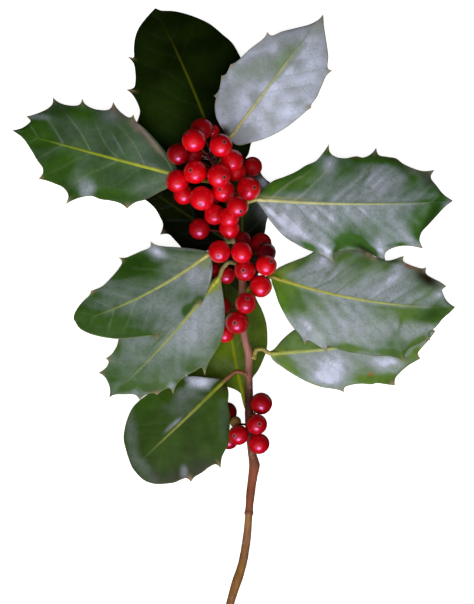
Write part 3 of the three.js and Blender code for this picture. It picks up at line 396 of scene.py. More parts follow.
# How each leaf looks: its two greens, its rim, its midrib from base to tip, its petiole, how grey with
# painted sheen its left and right halves are (a reflection of the light painted into the colour as a wax
# bloom), how streaky that sheen is, where its side veins leave the midrib (first one and gap, mm) and how
# strong they are on each half, pale above 0 and bare of sheen below 0. spots are soft patches of more or
# less painted sheen, [x, y, reach along, reach across, turn, amount], and tints are patches of another
# colour, the same with the colour last: some are the leaf's own marks, some painted shade and some painted
# sheen.
leafLooks = {
    "leaf_top_back": {
        # all its colours are darkened as painted shade: the leaf lies behind and under the others
        "green": "#182704", "deep": "#111C02", "rim": "#1E2608", "petiole": "#3A4210",
        "rib": ["#5E660A", "#525A08", "#2A3404"],
        "wax": [0, 0], "sheenStreak": 0, "from": [6, 10], "veins": [0.06, 0.06],
        "spots": [],
        "tintsAndPaintedLight": [[-29, 81, 13, 11, 60, 0.7, "#243A08"]],
    },
    "leaf_top_front": {
        # its pale greens under a nearly full painted sheen are a painted reflection of the light
        "green": "#84986E", "deep": "#788C66", "rim": "#C4BA9A", "petiole": "#B0A468",
        "rib": ["#E0D690", "#C6C68C", "#8E9A80"],
        "wax": [0.9, 0.97], "sheenStreak": 0.05, "from": [6, 8], "veins": [0.15, -0.1],
        "spots": [[12, 101, 9, 3.4, 12, -0.2], [20, 103, 8, 2, 52, -0.4], [21, 107, 4.5, 2.6, 40, -0.25],
            [9, 109, 7, 2, 32, 0.25], [20, 113.6, 8, 2, 18, 0.3], [27, 111, 5, 3, 50, -0.05],
            [-6, 80, 3, 6, 20, 0.2], [16, 92, 9, 4, 45, 0.1], [-5, 80, 2.4, 4, 20, 0.12],
            [12, 110.5, 6, 1.8, 35, 0.16], [22, 102.5, 11, 1.6, 50, -0.35], [8, 99, 3, 3.4, 30, -0.1],
            [0, 84, 6, 5, 50, 0.25], [13, 110.5, 10, 3, 33, 0.35], [30, 106, 5, 6, 60, 0.2],
            [25, 100, 6, 3, 50, -0.1], [33, 112, 4, 4, 0, 0.15], [10, 96, 4, 4, 0, -0.1]],
        # the near-black tint at its base is a painted shadow of the berries; the near-white tints are
        # painted sheen
        "tintsAndPaintedLight": [[34.5, 118.5, 4.5, 3, 60, 0.6, "#8A8468"], [-3.6, 74, 3, 2, 125, 0.95, "#14180A"],
            [20, 104, 9, 3, 50, 0.4, "#7C9A66"], [8, 99, 8, 4, 40, 0.25, "#86A27A"],
            [16, 112, 13, 3.4, 24, 0.3, "#F4F8FF"], [33, 110, 4, 7, 0, 0.2, "#F0F4FF"],
            [4, 73, 7, 3, 25, 0.2, "#E8ECF4"], [-2, 85, 5, 7, 0, 0.2, "#C4D8C4"]],
    },
    "leaf_upper_left": {
        "green": "#3C621E", "deep": "#305014", "rim": "#5E5A34", "petiole": "#8E983A",
        "rib": ["#C8CC50", "#9CAA2C", "#44661C"],
        "wax": [0.06, 0.1], "sheenStreak": 0.35, "from": [2.5, 11.3], "veins": [0.35, 0.8],
        "spots": [[-59, 51, 3.2, 4.2, 0, 0.62], [-61, 58, 8, 4, 60, 0.08], [-79, 80.4, 5, 1.3, -5, 0.42],
            [-32, 54, 9, 4, 20, 0.16], [-37, 68, 6, 8, -40, 0.06], [-50, 80, 4, 3, -40, 0.16],
            [-71, 58, 9, 6, 50, -0.1], [-78, 72, 8, 5, 0, -0.1], [-65, 82, 9, 2.6, 0, -0.1],
            [-48, 49, 9, 2, -8, -0.08], [-80, 77, 5, 2, 0, -0.15], [-58, 79, 4, 3, 0, -0.06],
            [-33, 56, 4, 4, 0, -0.06], [-64, 49, 3, 2, 0, -0.15], [-54, 48.5, 4, 2, 0, -0.08],
            [-50, 81, 3, 2, -20, 0.2], [-46.5, 69, 5.5, 0.5, -60, 0.25], [-32, 60, 6, 1, -25, 0.15],
            [-82, 76, 4, 3, 0, -0.1], [-58, 58, 4, 4, 0, -0.06]],
        "tintsAndPaintedLight": [[-47, 82.4, 6, 2.6, -35, 0.55, "#857672"], [-39.5, 76.6, 3.4, 1.8, -45, 0.7, "#9A8684"],
            [-34, 70.4, 8, 1.4, -50, 0.5, "#8A7C70"], [-70, 50, 9, 3, 0, 0.3, "#203C0C"],
            [-70, 84, 7, 3, 20, 0.3, "#203C0C"], [-33, 70.5, 8, 0.7, -48, 0.8, "#B09A90"],
            [-82, 75, 5, 5, 0, 0.4, "#1E3A0A"], [-76, 62, 6, 6, 0, 0.35, "#203C0C"],
            [-49, 48, 9, 1.8, -8, 0.4, "#24400C"], [-68, 53, 4, 1.6, -35, 0.5, "#203C0C"]],
    },
    "leaf_upper_right": {
        "green": "#456E2C", "deep": "#3A6222", "rim": "#6A6A44", "petiole": "#B4B45C",
        "rib": ["#E0DC98", "#CCD09A", "#7E9A62"],
        "wax": [0.38, 0.76], "sheenStreak": 0.26, "from": [6, 8], "veins": [0.6, -0.45],
        "spots": [[22, 55.5, 15, 3.6, 25, -0.5], [29, 51.6, 6, 1.4, 28, -0.25],
            [38.2, 61.2, 2.6, 3.4, -10, 0.65], [37.4, 66.5, 1.8, 2.4, 0, -0.7], [46, 60, 7, 5, 35, -0.3],
            [57, 63.6, 10, 2.6, -6, -0.6], [67, 59.6, 6, 2.2, -38, -0.35], [57, 53, 8, 7, 30, 0.22],
            [60, 56, 10, 5, 20, 0.2], [44, 50, 8, 3, 40, 0.12], [46, 47.6, 28, 1.4, -2, 0.14],
            [80, 50, 7, 5, -50, -0.2], [71, 53.4, 5, 3, 60, -0.3], [46, 29.6, 8.5, 3.2, 0, -0.7],
            [42, 36, 6, 4, 0, -0.12], [28, 28, 7, 2, -33, -0.4], [37.6, 26, 5, 1.7, -62, 0.3],
            [58.4, 27, 4.5, 1.5, -75, 0.25], [54, 27, 4.5, 1.9, -38, -0.75], [61, 38, 12, 7, -10, -0.12],
            [66, 29, 6, 1.1, 6, -0.6], [69, 32.4, 5, 2, -48, 0.25], [77, 41, 10, 5.6, 58, -0.75],
            [21, 38, 9, 3, -45, 0.12], [47, 33, 7, 4, 0, -0.35], [74, 33, 4, 3, 0, -0.5],
            [70, 43, 5, 3, 0, -0.2], [52.4, 56, 5, 1.2, 62, -0.35], [24, 51.5, 5, 1.6, 20, -0.2],
            [22, 33, 4, 2.6, -20, 0.15], [30, 29, 4, 1.6, -30, -0.3], [56, 26, 4, 1.4, -20, -0.5],
            [80, 48, 3, 2.4, 50, 0.25], [50, 34, 11, 5, 0, -0.2], [31, 27.5, 3.5, 1.6, -30, -0.5],
            [40.5, 26.4, 2.6, 1.4, 60, -0.8], [64, 36, 9, 6, 0, -0.1], [30, 55, 6, 2.4, 35, -0.15],
            [60, 52, 7, 4, 20, 0.12], [17, 42, 5, 3, -40, 0.12], [24, 36, 8, 2, -40, 0.15],
            [77, 48.4, 5, 1.6, 0, 0.25]],
        # the two near-black tints on the lower margin, at x 53 and 40.4, are painted shade in the curled
        # margin and the gap under it
        "tintsAndPaintedLight": [[75, 58, 7, 1.5, -20, 0.6, "#5E4A3C"], [48.6, 64.1, 2, 0.8, 0, 0.6, "#7A4632"],
            [54, 51.8, 0.9, 0.7, 0, 0.7, "#9A7466"], [14, 50.4, 7, 2.6, 35, 0.5, "#5E8420"],
            [80, 55.5, 4, 3, -60, 0.4, "#3E4A30"], [66, 61.6, 6, 1.6, -35, 0.5, "#3E4A24"],
            [53, 26.4, 6, 1.4, -30, 0.9, "#1E2A08"], [78.4, 38, 8, 2.4, 58, 0.85, "#203C0C"],
            [81, 44, 5, 2.4, 65, 0.6, "#2A4A14"], [77, 55, 4, 2.6, -60, 0.6, "#34361E"],
            [27, 54.4, 8, 2.4, 28, 0.4, "#6E9440"], [40.4, 26, 2.4, 1.2, 60, 0.6, "#2A3A10"],
            [20, 47.6, 13, 0.5, -3, 0.6, "#B4B468"], [62, 63.4, 9, 1, -6, 0.5, "#3A4A20"]],
    },
    "leaf_middle_right": {
        "green": "#5E7E36", "deep": "#52723A", "rim": "#5E5A38", "petiole": "#A0A030",
        "rib": ["#B0AE3C", "#BEC068", "#86A06A"],
        "wax": [0.56, 0.55], "sheenStreak": 0.3, "from": [9, 8], "veins": [-0.7, -0.35],
        "spots": [[24, 21, 9, 3, 30, -0.5], [32.5, 16, 6, 3, 40, 0.18], [38.4, 18, 6, 1.1, 52, -0.45],
            [36.6, 22.4, 4, 2.2, -50, 0.3], [46, 17, 8, 4, 10, -0.16], [47, 23.4, 9, 3.2, -5, -0.5],
            [57, 21, 6, 3, 0, -0.35], [58, 13, 11, 4, 10, 0.16], [64, 17, 3, 5, -40, 0.3],
            [82.5, 9, 3, 2, -60, 0.3], [75, 10, 5, 4, 20, -0.15], [19, 9, 6, 9, -25, -0.75],
            [28, 5.6, 8, 5, -15, -0.3], [28.6, -5, 6, 2.6, -52, 0.35], [45, 0, 8, 9, 0, 0.12],
            [32, -4, 5, 4, 0, 0.15], [46, -12.4, 6.5, 1.8, -8, -0.8], [38, 14, 6, 2, 20, 0.12],
            [62, -14.6, 7, 1.8, -8, -0.7], [70, 0.6, 12, 3.4, -6, -0.4], [83, 2.6, 7, 4, 20, -0.7],
            [75, -6.4, 5, 1.8, 12, 0.12], [73, -10.6, 7, 2, 42, -0.7], [66.6, -2.6, 0.9, 3.6, -12, -0.4],
            [65, -11, 4, 3, 0, -0.4], [38, 16.6, 4, 2, 20, 0.2], [24, 16, 3.6, 2.4, 20, 0.25],
            [62, 3.6, 12, 1, -6, -0.25], [76, 12, 4, 2.4, -20, -0.3], [46, -3, 6, 3, 0, 0.1],
            [58, 8, 6, 3, 0, 0.1], [26, 9, 4, 3, 0, -0.2], [33, -11, 3, 1.6, -30, 0.3],
            [80, 0, 4, 2, 0, -0.2], [26, 3, 3, 3, 0, -0.2], [33, 8, 9, 1.2, -18, -0.2],
            [60, 8.6, 10, 2, -5, 0.12], [36, 18, 4, 4, 40, 0.15], [21, 17, 3, 2, 0, 0.25],
            [84, 5, 3, 1.4, 0, 0.45], [66, -15.6, 3, 1.4, -25, -0.6], [60, -11, 4, 2.4, 0, -0.2],
            [75, 0.5, 7, 3, -5, -0.2], [45, -5, 4, 3, 0, 0.1], [63, -7, 2, 1.6, 0, -0.2],
            [33, -12, 2, 1, 0, 0.5], [52, 19, 4, 2, 0, -0.15], [62, 19, 3, 2, -30, -0.2],
            [78.4, -6, 2, 1, 40, 0.5]],
        # the near-black tints at x 52.4 and 31 on the upper margin are painted shadow cast by the leaf
        # above; the near-white tint at (33, -8) is painted sheen
        "tintsAndPaintedLight": [[15.6, 16, 5, 4, -10, 0.9, "#7C9210"], [18.5, 9, 3, 8, 22, 0.7, "#567E10"],
            [77, 15.6, 7, 3, -38, 1, "#2A2416"], [69.4, 20.5, 1.7, 0.8, -12, 0.8, "#A03A3E"],
            [72, 19.6, 3, 0.9, -10, 0.6, "#8A6038"], [62.5, 22.6, 5, 1.4, -5, 0.8, "#34481C"],
            [52.4, 27.2, 6, 2.2, -20, 1, "#1E1A08"], [31, 26.6, 1.6, 1.1, 0, 0.9, "#1E1A08"],
            [15.8, 10, 7, 1.2, -68, 0.7, "#3E6A08"], [80.6, 1, 7, 3.2, 18, 0.75, "#24440C"],
            [70, -12, 5, 2.4, 40, 0.4, "#3A5A1E"], [33, -8, 3, 2.4, -40, 0.5, "#E0E6F0"],
            [21, 20, 4, 2.4, 25, 0.5, "#8AA040"], [72, 15.6, 4, 2, -20, 0.3, "#34481C"],
            [40, 25, 3, 1.2, 55, 0.4, "#6E8A4A"], [65, 23, 4, 1.2, -20, 0.6, "#34481C"]],
    },
    "leaf_lower_right": {
        "green": "#6C8C3E", "deep": "#62823A", "rim": "#7A8848", "petiole": "#A29A4A",
        "rib": ["#BCC45C", "#C0C888", "#86A06A"],
        "wax": [0.05, 0.56], "sheenStreak": 0.25, "from": [6, 8], "veins": [0.2, 0.2],
        "spots": [[38.4, -24, 6, 3.2, -8, 0.5], [40, -17, 8, 4, 0, 0.22], [20, -17.6, 9, 2.4, -38, -0.5],
            [30, -26.4, 7, 1, -20, -0.3], [58, -25, 9, 2.4, 4, -0.7], [50, -24, 4, 2.6, 0, -0.35],
            [57.6, -18.6, 5, 2.6, -20, 0.55], [54, -21.4, 3, 2, 0, -0.2], [71, -14.4, 3, 5, -35, -0.5],
            [61, -17.5, 4, 2, -10, 0.25], [74, -15, 3, 2, -40, -0.4], [22, -15.5, 4, 2, -35, -0.2],
            [40, -20, 5, 2.4, -10, 0.1], [39, -21, 7, 5, 0, 0.28], [36, -25, 6, 2, -20, 0.3],
            [62.5, -18, 3.4, 1.6, -15, 0.25], [70.5, -14, 3.6, 0.8, 48, 0.5],
            [22, -20.5, 6, 1, -32, -0.3], [54, -20.6, 3, 1.6, 0, -0.15]],
        "tintsAndPaintedLight": [[54.6, -23, 1.1, 1, 0, 0.7, "#B06A34"], [15.6, -14.6, 5, 2, 0, 0.6, "#98A034"],
            [58, -25.4, 10, 2, 4, 0.5, "#507616"], [71, -16, 3, 2.4, 30, 0.6, "#5E7A34"],
            [69, -20.6, 7, 1.4, 38, 0.7, "#3A5A10"], [62.6, -26, 3, 1.2, 0, 0.6, "#3E5E10"]],
    },
    "leaf_middle_left": {
        "green": "#3E5E26", "deep": "#34541A", "rim": "#7E8A5E", "petiole": "#A8AC6C",
        "rib": ["#C6C470", "#AAB266", "#688236"],
        "wax": [0.21, 0.2], "sheenStreak": 0.35, "from": [7, 9], "veins": [0.4, 0.3],
        "spots": [[-14.6, 16.5, 7, 4.6, -60, 0.45], [-31, 3, 12, 5, 15, 0.14], [-28, -3.6, 4, 3, 0, 0.1],
            [-48, -6.6, 17, 2, 1, -0.24], [-57, -1, 8, 5, 20, -0.2], [-45, -1, 4, 4, 0, -0.14],
            [-18.6, 2.6, 2.6, 2.2, 50, -0.65], [-14.6, 6.4, 2.6, 1.6, 35, -0.4], [-22, -1, 3, 5, 20, 0.1],
            [-31, 26.4, 4.4, 2.2, -35, 0.7], [-40, 21, 11, 4.4, 5, -0.4], [-47, 12, 8, 3, 20, 0.06],
            [-62, 0, 4, 6, 0, -0.2], [-23, 21.6, 7, 2.6, 15, 0.2], [-17, 26, 10, 1.6, -4, -0.08],
            [-45, -3, 9, 4, 0, -0.12], [-57, 8, 4, 2.4, 20, -0.15], [-45, 13, 5, 2.4, 10, -0.1],
            [-33, 16, 5, 2.4, 20, -0.15], [-20, 23, 5, 2, 10, -0.12], [-31, 23, 3, 1.4, 10, 0.2],
            [-9, 19, 1.6, 3, -20, 0.25], [-36, 8, 6, 1.2, 20, 0.1], [-25, 14, 4, 1.2, 30, 0.1],
            [-47, 16, 4, 1, 0, -0.3], [-42, -7.6, 11, 0.9, 1, -0.3], [-20, 14.5, 6, 4, 20, 0.15],
            [-19, 27.3, 8, 0.8, -5, 0.3], [-9.4, 16, 1, 3, 0, 0.4], [-21, 8, 4, 2.4, 30, -0.12],
            [-49, -3, 5, 3, 0, -0.12], [-35, -1, 7, 4, 0, -0.12], [-33, 24, 3, 2, 0, 0.2]],
        "tintsAndPaintedLight": [[-41, 21, 9, 4, 10, 0.7, "#1E3E06"], [-18.6, 2.6, 2.6, 2.2, 50, 0.4, "#2A4A12"],
            [-41, -7.7, 12, 0.8, 1, 0.5, "#2A4A1A"], [-12, 22, 3, 2.4, 60, 0.5, "#A0A860"],
            [-20, 22, 5, 2, 15, 0.4, "#6C8448"]],
    },
    "leaf_lower_left": {
        "green": "#4C6A34", "deep": "#42602A", "rim": "#7E8458", "petiole": "#8A8450",
        "rib": ["#AEB42E", "#A2A86A", "#6E8848"],
        "wax": [0.22, 0.26], "sheenStreak": 0.22, "from": [6, 8], "veins": [-0.2, -0.2],
        "spots": [[-13, 0, 14, 8.6, 62, 0.5], [-22, -9, 8, 6, 45, 0.16], [-20.6, -4, 1.6, 4, 0, 0.12],
            [-8.6, -13, 1.8, 8, -25, -0.2], [-15, -18.6, 6, 2.6, -10, -0.2],
            [-25.2, -27.4, 1.8, 1.5, 40, 0.55], [-41, -10, 7, 2.4, 0, 0.1], [-50, -24, 6, 4.4, 30, -0.2],
            [-31, -28, 9, 2, 5, -0.2], [-39, -30, 4, 1.4, 0, 0.16], [-36, -24, 8, 5, 0, -0.06],
            [-30, -15, 7, 3, 45, 0.12], [-13, -19, 3, 1.8, 0, 0.25], [-17, -21, 3, 1.4, 0, -0.3],
            [-22, -26, 3, 1.6, 0, -0.2], [-43, -28, 4, 2, 20, -0.3], [-33, -29, 4, 1.4, 0, -0.2],
            [-47, -12, 2, 4, 0, -0.3], [-38, -9.5, 4, 2, 20, 0.1], [-35, -20, 13, 7, 45, -0.06],
            [-25, -12, 1, 4, 0, 0.12], [-9.5, -16, 2.6, 5, 0, 0.15], [-30, -9, 7, 0.8, 45, -0.15]],
        "tintsAndPaintedLight": [[-7.6, 13, 2.4, 4.4, -35, 0.9, "#949C1E"], [-48, -23, 6, 4, 0, 0.4, "#34581A"],
            [-17, -19.4, 6, 2, 0, 0.4, "#46662A"]],
    },
    "leaf_bottom_left": {
        "green": "#35500E", "deep": "#2E450A", "rim": "#5A5A24", "petiole": "#7A5030",
        "rib": ["#7C8A10", "#8C9440", "#35500E"],
        "wax": [0.01, 0.01], "sheenStreak": 0, "from": [6, 9], "veins": [0, 0.12],
        "spots": [[-13.6, -25.8, 7.4, 2.8, -5, 1], [-20, -30.6, 7, 2.4, 20, 0.2],
            [-22, -36, 6, 4, 0, 0.12], [-41.4, -46, 2.4, 10, 6, 0.16], [-37, -60, 2.6, 8, 42, 0.14],
            [-20.2, -62.6, 1.5, 2.8, 0, 0.6], [-4.4, -40, 2, 9, 0, 0.06], [-15, -32, 4, 1.6, -10, 0.1],
            [-21, -26, 2.4, 1.6, 0, -0.5], [-26, -32, 3, 3, 0, -0.15], [-5, -28.5, 4, 2.4, -20, -1],
            [-24.4, -43, 4.4, 0.8, 42, 0.45]],
        "tintsAndPaintedLight": [[-10, -40.6, 0.9, 0.7, 0, 0.3, "#6A7018"], [-36, -36, 7, 5, 45, 0.3, "#36601A"],
            [-3.5, -27.6, 3.6, 1.6, -38, 0.8, "#1E1C08"], [-5.6, -29, 4, 1.6, -20, 0.6, "#3A3A12"],
            [-24, -64, 13, 3.4, 0, 0.5, "#182804"], [-12, -60, 6, 4, 20, 0.4, "#182804"]],
    },
    "leaf_under_twig": {
        "green": "#5E7A10", "deep": "#4E660C", "rim": "#3A3E10", "petiole": "#5A5A1C",
        "rib": ["#8A9414", "#84900E", "#4A5A10"],
        "wax": [0, 0.02], "sheenStreak": 0, "from": [6, 8], "veins": [0.2, 0.2],
        "spots": [[-4, -19, 6, 3, 0, 0.06]],
        # both dark tints are painted shade, where the leaf lies under the twig and the berries
        "tintsAndPaintedLight": [[4, -33, 4, 5, 0, 0.6, "#2E3008"], [3, 14, 9, 14, 0, 0.3, "#2A3A06"]],
    },
    "leaf_under_left": {
        # its colours are near black all over as painted shade: the leaf lies under the top cluster of
        # berries
        "green": "#0F1602", "deep": "#0A0F01", "rim": "#10140A", "petiole": "#2A300C",
        "rib": ["#2A330A", "#222A06", "#141C03"],
        "wax": [0, 0], "sheenStreak": 0, "from": [6, 8], "veins": [0.15, 0.15],
        "spots": [],
        "tintsAndPaintedLight": [],
    },
    "leaf_under_right": {
        # its greens are darkened as painted shade, and its near-black tints at (8, 34) and (-2, 20) deepen
        # it where it lies under the berries
        "green": "#2C3E10", "deep": "#22320C", "rim": "#2A3010", "petiole": "#4A5420",
        "rib": ["#6A7A2A", "#5E7026", "#46581C"],
        "wax": [0.02, 0.05], "sheenStreak": 0, "from": [6, 8], "veins": [0.2, 0.2],
        "spots": [[12.5, 45, 3.6, 7, 0, 0.6], [11.6, 54, 2.4, 2.4, 0, 1]],
        "tintsAndPaintedLight": [[8, 34, 6, 8, 0, 0.9, "#0C1002"], [13.6, 50, 2.4, 1.6, 0, 0.8, "#5A7A22"],
            [-2, 20, 9, 12, 0, 0.8, "#141C04"]],
    },
}

leafShape = {
    "columns": 190, "rows": 30, "crowding": 0.84,  # along the margin, across each half, finer at its ends
    "marginFineness": 16, "rootLean": 0.35, "rootSmoothing": 25, "rootEvenness": 0.08,
    "spineCrowd": 2.6, "spineWidth": 2.0, "spineFoot": 3.2, "spineFootShare": 0.45, "spineTip": 1.3,
    "edgeUpTo": 0.72, "bayGaps": [4, 12], "bayDip": 0.6, "wave": 0.32, "waveSize": 26,
    "thickness": 0.45, "rimThickness": 0.3, "rimBead": 0.1,
    "veinLean": 1.1, "veinCurve": 0.002, "veinWidth": 0.32, "veinDepth": 0.07, "veinUnder": 0.08,
    "veinWander": 0.14, "veinWanderSize": 18, "veinSlope": 0.7, "veinFade": [0.55, 0.9], "pillow": 0.12,
    "veinStart": 0.05, "veinStrengths": [0.3, 1], "veinKinds": 64,
    "ribWidth": [0.62, 0.26], "ribHeight": 0.12, "ribFade": 0.75, "ribUnder": 0.35, "ribUnderWidth": 1.2,
}

petioleShape = {
    "radius": 0.85, "sides": 18, "sunk": 1.4,  # sunk is how far it starts inside the bark
    "fineness": 6, "joinedFineness": 3,  # steps from point to point, and again once the keel is joined on
    "footRadii": [1.5, 1.25, 0.88], "footShares": [0, 0.05, 0.12],
    "keelRadius": 0.3, "keelReach": 0.75, "keelSteps": 26, "keelDrop": 0.12, "dive": 7,
}


def bladeOf(leaf):
    # Along is the chord from base to tip, across is a quarter turn to its left
    base, tip = np.array(leaf["base"], float), np.array(leaf["tip"], float)
    length = np.hypot(*(tip - base)[:2])
    along = (tip - base)[:2] / length
    return {"base": base, "rise": tip[2] - base[2], "length": length,
            "along": along, "across": np.array([-along[1], along[0]])}


def onBlade(blade, along, across):
    # World x and y of a place on the blade: base + along * chord + across * its left
    return [blade["base"][k] + along * blade["along"][k] + across * blade["across"][k] for k in (0, 1)]


def midribAcross(leaf, share):
    # A parabola to the left of the chord: 4 * bend * share * (1 - share)
    return 4 * leaf["bend"] * share * (1 - share)


def bladeHeight(leaf, blade, along, out):
    # Arched midrib, then away from it: height + roll * out - fold * |out| - curl * out^2
    share = along / blade["length"]
    midrib = blade["base"][2] + share * blade["rise"] + 4 * leaf["arch"] * share * (1 - share)
    return midrib + leaf["roll"] * out - leaf["fold"] * np.abs(out) - leaf["curl"] * out ** 2


def marginCurve(leaf, blade, side):
    # A curve through the margin's points with a corner at each spine. Gives the line, the distance along
    # it, and the distance and lift of each stop: the base, every spine and the tip
    given = leaf["left"] if side > 0 else leaf["right"]
    offset = np.array([point[:2] for point in given]) - blade["base"][:2]
    local = np.stack([offset @ blade["along"], offset @ blade["across"]], axis=1)
    local = np.concatenate([[[0, side * petioleShape["radius"]]], local, [[blade["length"], 0]]])
    lifts = np.array([0] + [point[2] if len(point) > 2 else np.nan for point in given] + [0])
    corner = ~np.isnan(lifts)
    line = throughPoints(local, corner, leafShape["marginFineness"])
    run = distancesAlong(line)
    return line, run, run[np.flatnonzero(corner) * leafShape["marginFineness"]], lifts[corner]


def columnsAlong(run, spines):
    # Distances along the margin: closer together near the spines, by 1 + crowd * exp(-(gap / width)^2), and
    # one of them exactly at each spine
    gap = (run[:, None] - spines) / leafShape["spineWidth"]
    crowd = 1 + leafShape["spineCrowd"] * np.exp(-gap ** 2).sum(axis=1)
    spent = np.concatenate([[0], np.cumsum((crowd[1:] + crowd[:-1]) / 2 * np.diff(run))])
    where = np.interp(np.linspace(0, spent[-1], leafShape["columns"]), spent, run)
    where[np.abs(where[:, None] - spines).argmin(axis=0)] = spines
    return where


def marginOf(leaf, blade, side):
    # From stop to stop the lift eases as a half cosine and the bay is a half sine. edge is the line with
    # every spine cut off straight across its foot, and spine is 1 at a spine's tip
    line, run, stops, lifts = marginCurve(leaf, blade, side)
    spines, gaps = stops[1:-1], np.diff(stops)
    where = columnsAlong(run, spines)
    nearest = np.abs(where[:, None] - spines).argmin(axis=1)
    past = where - spines[nearest]
    room = leafShape["spineFootShare"] * np.minimum(gaps[:-1], gaps[1:])
    foot = np.minimum(leafShape["spineFoot"], room)[nearest]
    low, high = (pointAt(line, run, spines[nearest] + way * foot) for way in (-1, 1))
    away = (past / foot)[:, None]
    there = pointAt(line, run, where)
    last = np.clip(np.searchsorted(stops, where, side="right") - 1, 0, len(stops) - 2)
    share = np.clip((where - stops[last]) / gaps[last], 0, 1)
    return {"line": there, "edge": np.where(np.abs(away) < 1, low + (away + 1) / 2 * (high - low), there),
            "lift": lifts[last] + (1 - np.cos(np.pi * share)) / 2 * (lifts[last + 1] - lifts[last]),
            "bay": np.sin(np.pi * share) * ease(gaps[last], *leafShape["bayGaps"]),
            "spine": np.exp(-(past / leafShape["spineTip"]) ** 2)}


def rootsOf(blade, margins):
    # A column leaves the midrib behind its margin point, by lean * |across|, as the mean of both sides,
    # smoothed and always rising
    edges = [margin["edge"] for margin in margins]
    wanted = np.mean([edge[:, 0] - leafShape["rootLean"] * np.abs(edge[:, 1]) for edge in edges], axis=0)
    window = leafShape["rootSmoothing"]
    kernel = np.hanning(window) / np.hanning(window).sum()
    wanted = np.pad(np.clip(wanted, 0, blade["length"]), window // 2, mode="edge")
    wanted = np.convolve(wanted, kernel, "valid")
    even = leafShape["rootEvenness"]
    steady = blade["length"] * np.linspace(0, 1, len(wanted))
    roots = (1 - even) * np.maximum.accumulate(wanted) + even * steady
    roots[0], roots[-1] = 0, blade["length"]
    return roots


def halfBlade(leaf, blade, margin, roots):
    # Point = root + reach * (target - root); reach has short steps at the midrib and the margin,
    # and the target passes from the cut edge to the real margin over the outer part
    t = np.linspace(0, 1, leafShape["rows"] + 1)[:, None]
    reach = t - leafShape["crowding"] * np.sin(circle * t) / circle
    root = np.stack([roots, midribAcross(leaf, roots / blade["length"])], axis=1)
    outer = ease(reach, leafShape["edgeUpTo"], 1)[..., None]
    target = margin["edge"] + outer * (margin["line"] - margin["edge"])
    place = root + reach[..., None] * (target - root)
    rim = (1 - reach) * np.linalg.norm(target - root, axis=2)
    spread = {name: np.broadcast_to(margin[name], rim.shape) for name in ("bay", "spine")}
    return {"along": place[..., 0], "across": place[..., 1], "rim": rim,
            "lift": margin["lift"] * reach ** 2, "reach": np.broadcast_to(reach, rim.shape), **spread}


def leafGrid(leaf, blade):
    # Both halves side by side, from the left margin to the right. out is the distance to the left of the
    # midrib
    margins = [marginOf(leaf, blade, side) for side in (1, -1)]
    roots = rootsOf(blade, margins)
    left, right = (halfBlade(leaf, blade, margin, roots) for margin in margins)
    skin = {name: np.concatenate([left[name][::-1], right[name][1:]]) for name in left}
    skin["share"] = np.clip(skin["along"] / blade["length"], 0, 1)
    skin["out"] = skin["across"] - midribAcross(leaf, skin["share"])
    skin["x"], skin["y"] = onBlade(blade, skin["along"], skin["across"])
    skin["ribWidth"] = np.interp(skin["share"], [0, 1], leafShape["ribWidth"])
    return skin


def addVeins(look, skin, seed):
    # A side vein runs wherever phase = (along - lean * |out| - curve * out^2 - first) / spacing is a whole
    # number, with a slow wander. Each has a strength of its own and fades out before the margin
    out, reach = skin["out"], skin["reach"]
    skin["sweep"] = skin["along"] - leafShape["veinLean"] * np.abs(out) - leafShape["veinCurve"] * out ** 2
    first, spacing = look["from"]
    wander = leafShape["veinWander"] * ripple(skin["along"], out, leafShape["veinWanderSize"], seed)
    skin["phase"] = (skin["sweep"] - first) / spacing + wander
    number, rightHalf = np.round(skin["phase"]), 30  # the right half takes its strengths further on
    kinds = leafShape["veinKinds"]
    strengths = np.random.default_rng(seed + 50).uniform(*leafShape["veinStrengths"], kinds)
    strength = strengths[(number + rightHalf * (out < 0)).astype(int) % kinds]
    gap = np.abs(skin["phase"] - number) * spacing * leafShape["veinSlope"]
    fading = ease(reach, 0, leafShape["veinStart"]) * (1 - ease(reach, *leafShape["veinFade"]))
    skin["vein"] = np.exp(-(gap / leafShape["veinWidth"]) ** 2) * strength * fading


def addHeights(leaf, blade, skin, seed):
    # under = blade height + lift - dip * bay * reach^5 + a slow wave. The top adds fields swollen as a half
    # cosine between the veins, lowers the veins, and raises the midrib as exp(-(out / width)^2)
    out, reach = skin["out"], skin["reach"]
    pillow = (1 - np.cos(circle * skin["phase"])) / 2 * np.sin(np.pi * reach)
    ridge = np.exp(-(out / skin["ribWidth"]) ** 2) * (1 - ease(skin["share"], leafShape["ribFade"], 1))
    base = bladeHeight(leaf, blade, skin["along"], out) + skin["lift"]
    base = base - leafShape["bayDip"] * skin["bay"] * reach ** 5
    wave = ripple(skin["along"], out, leafShape["waveSize"], seed + 1)
    skin["under"] = base + leafShape["wave"] * wave * np.sin(np.pi * reach / 2) ** 2
    skin["top"] = (skin["under"] + leafShape["pillow"] * pillow - leafShape["veinDepth"] * skin["vein"]
                   + leafShape["ribHeight"] * ridge)


# How the tones, the tints and the painted sheen (a grey reflection of the light painted into the colour)
# are laid on the upper face
leafPaint = {
    "tonePatch": 14, "sheenPatch": 9, "sheenPatchiness": 0.14, "streakSize": 5, "streakSqueeze": 0.22,
    "sheenLimit": 1.15, "veinTone": 0.4, "veinSheen": 0.22, "bareShares": [0.6, 0.95], "bareWidths": [0.6, 1.5],
    "ribStops": [0, 0.45, 1], "rimWidth": 0.24, "rimCover": 0.8,
    "spineShares": [0.86, 0.99], "spineCover": 0.8, "spineColour": "#A58A68",
}


def ribTones(look, share):
    # The midrib's three colours at their stops along it, mixed straight between them
    stops = np.array([toLinear(colour) for colour in look["rib"]])
    return np.stack([np.interp(share, leafPaint["ribStops"], stops[:, k]) for k in range(3)], axis=-1)


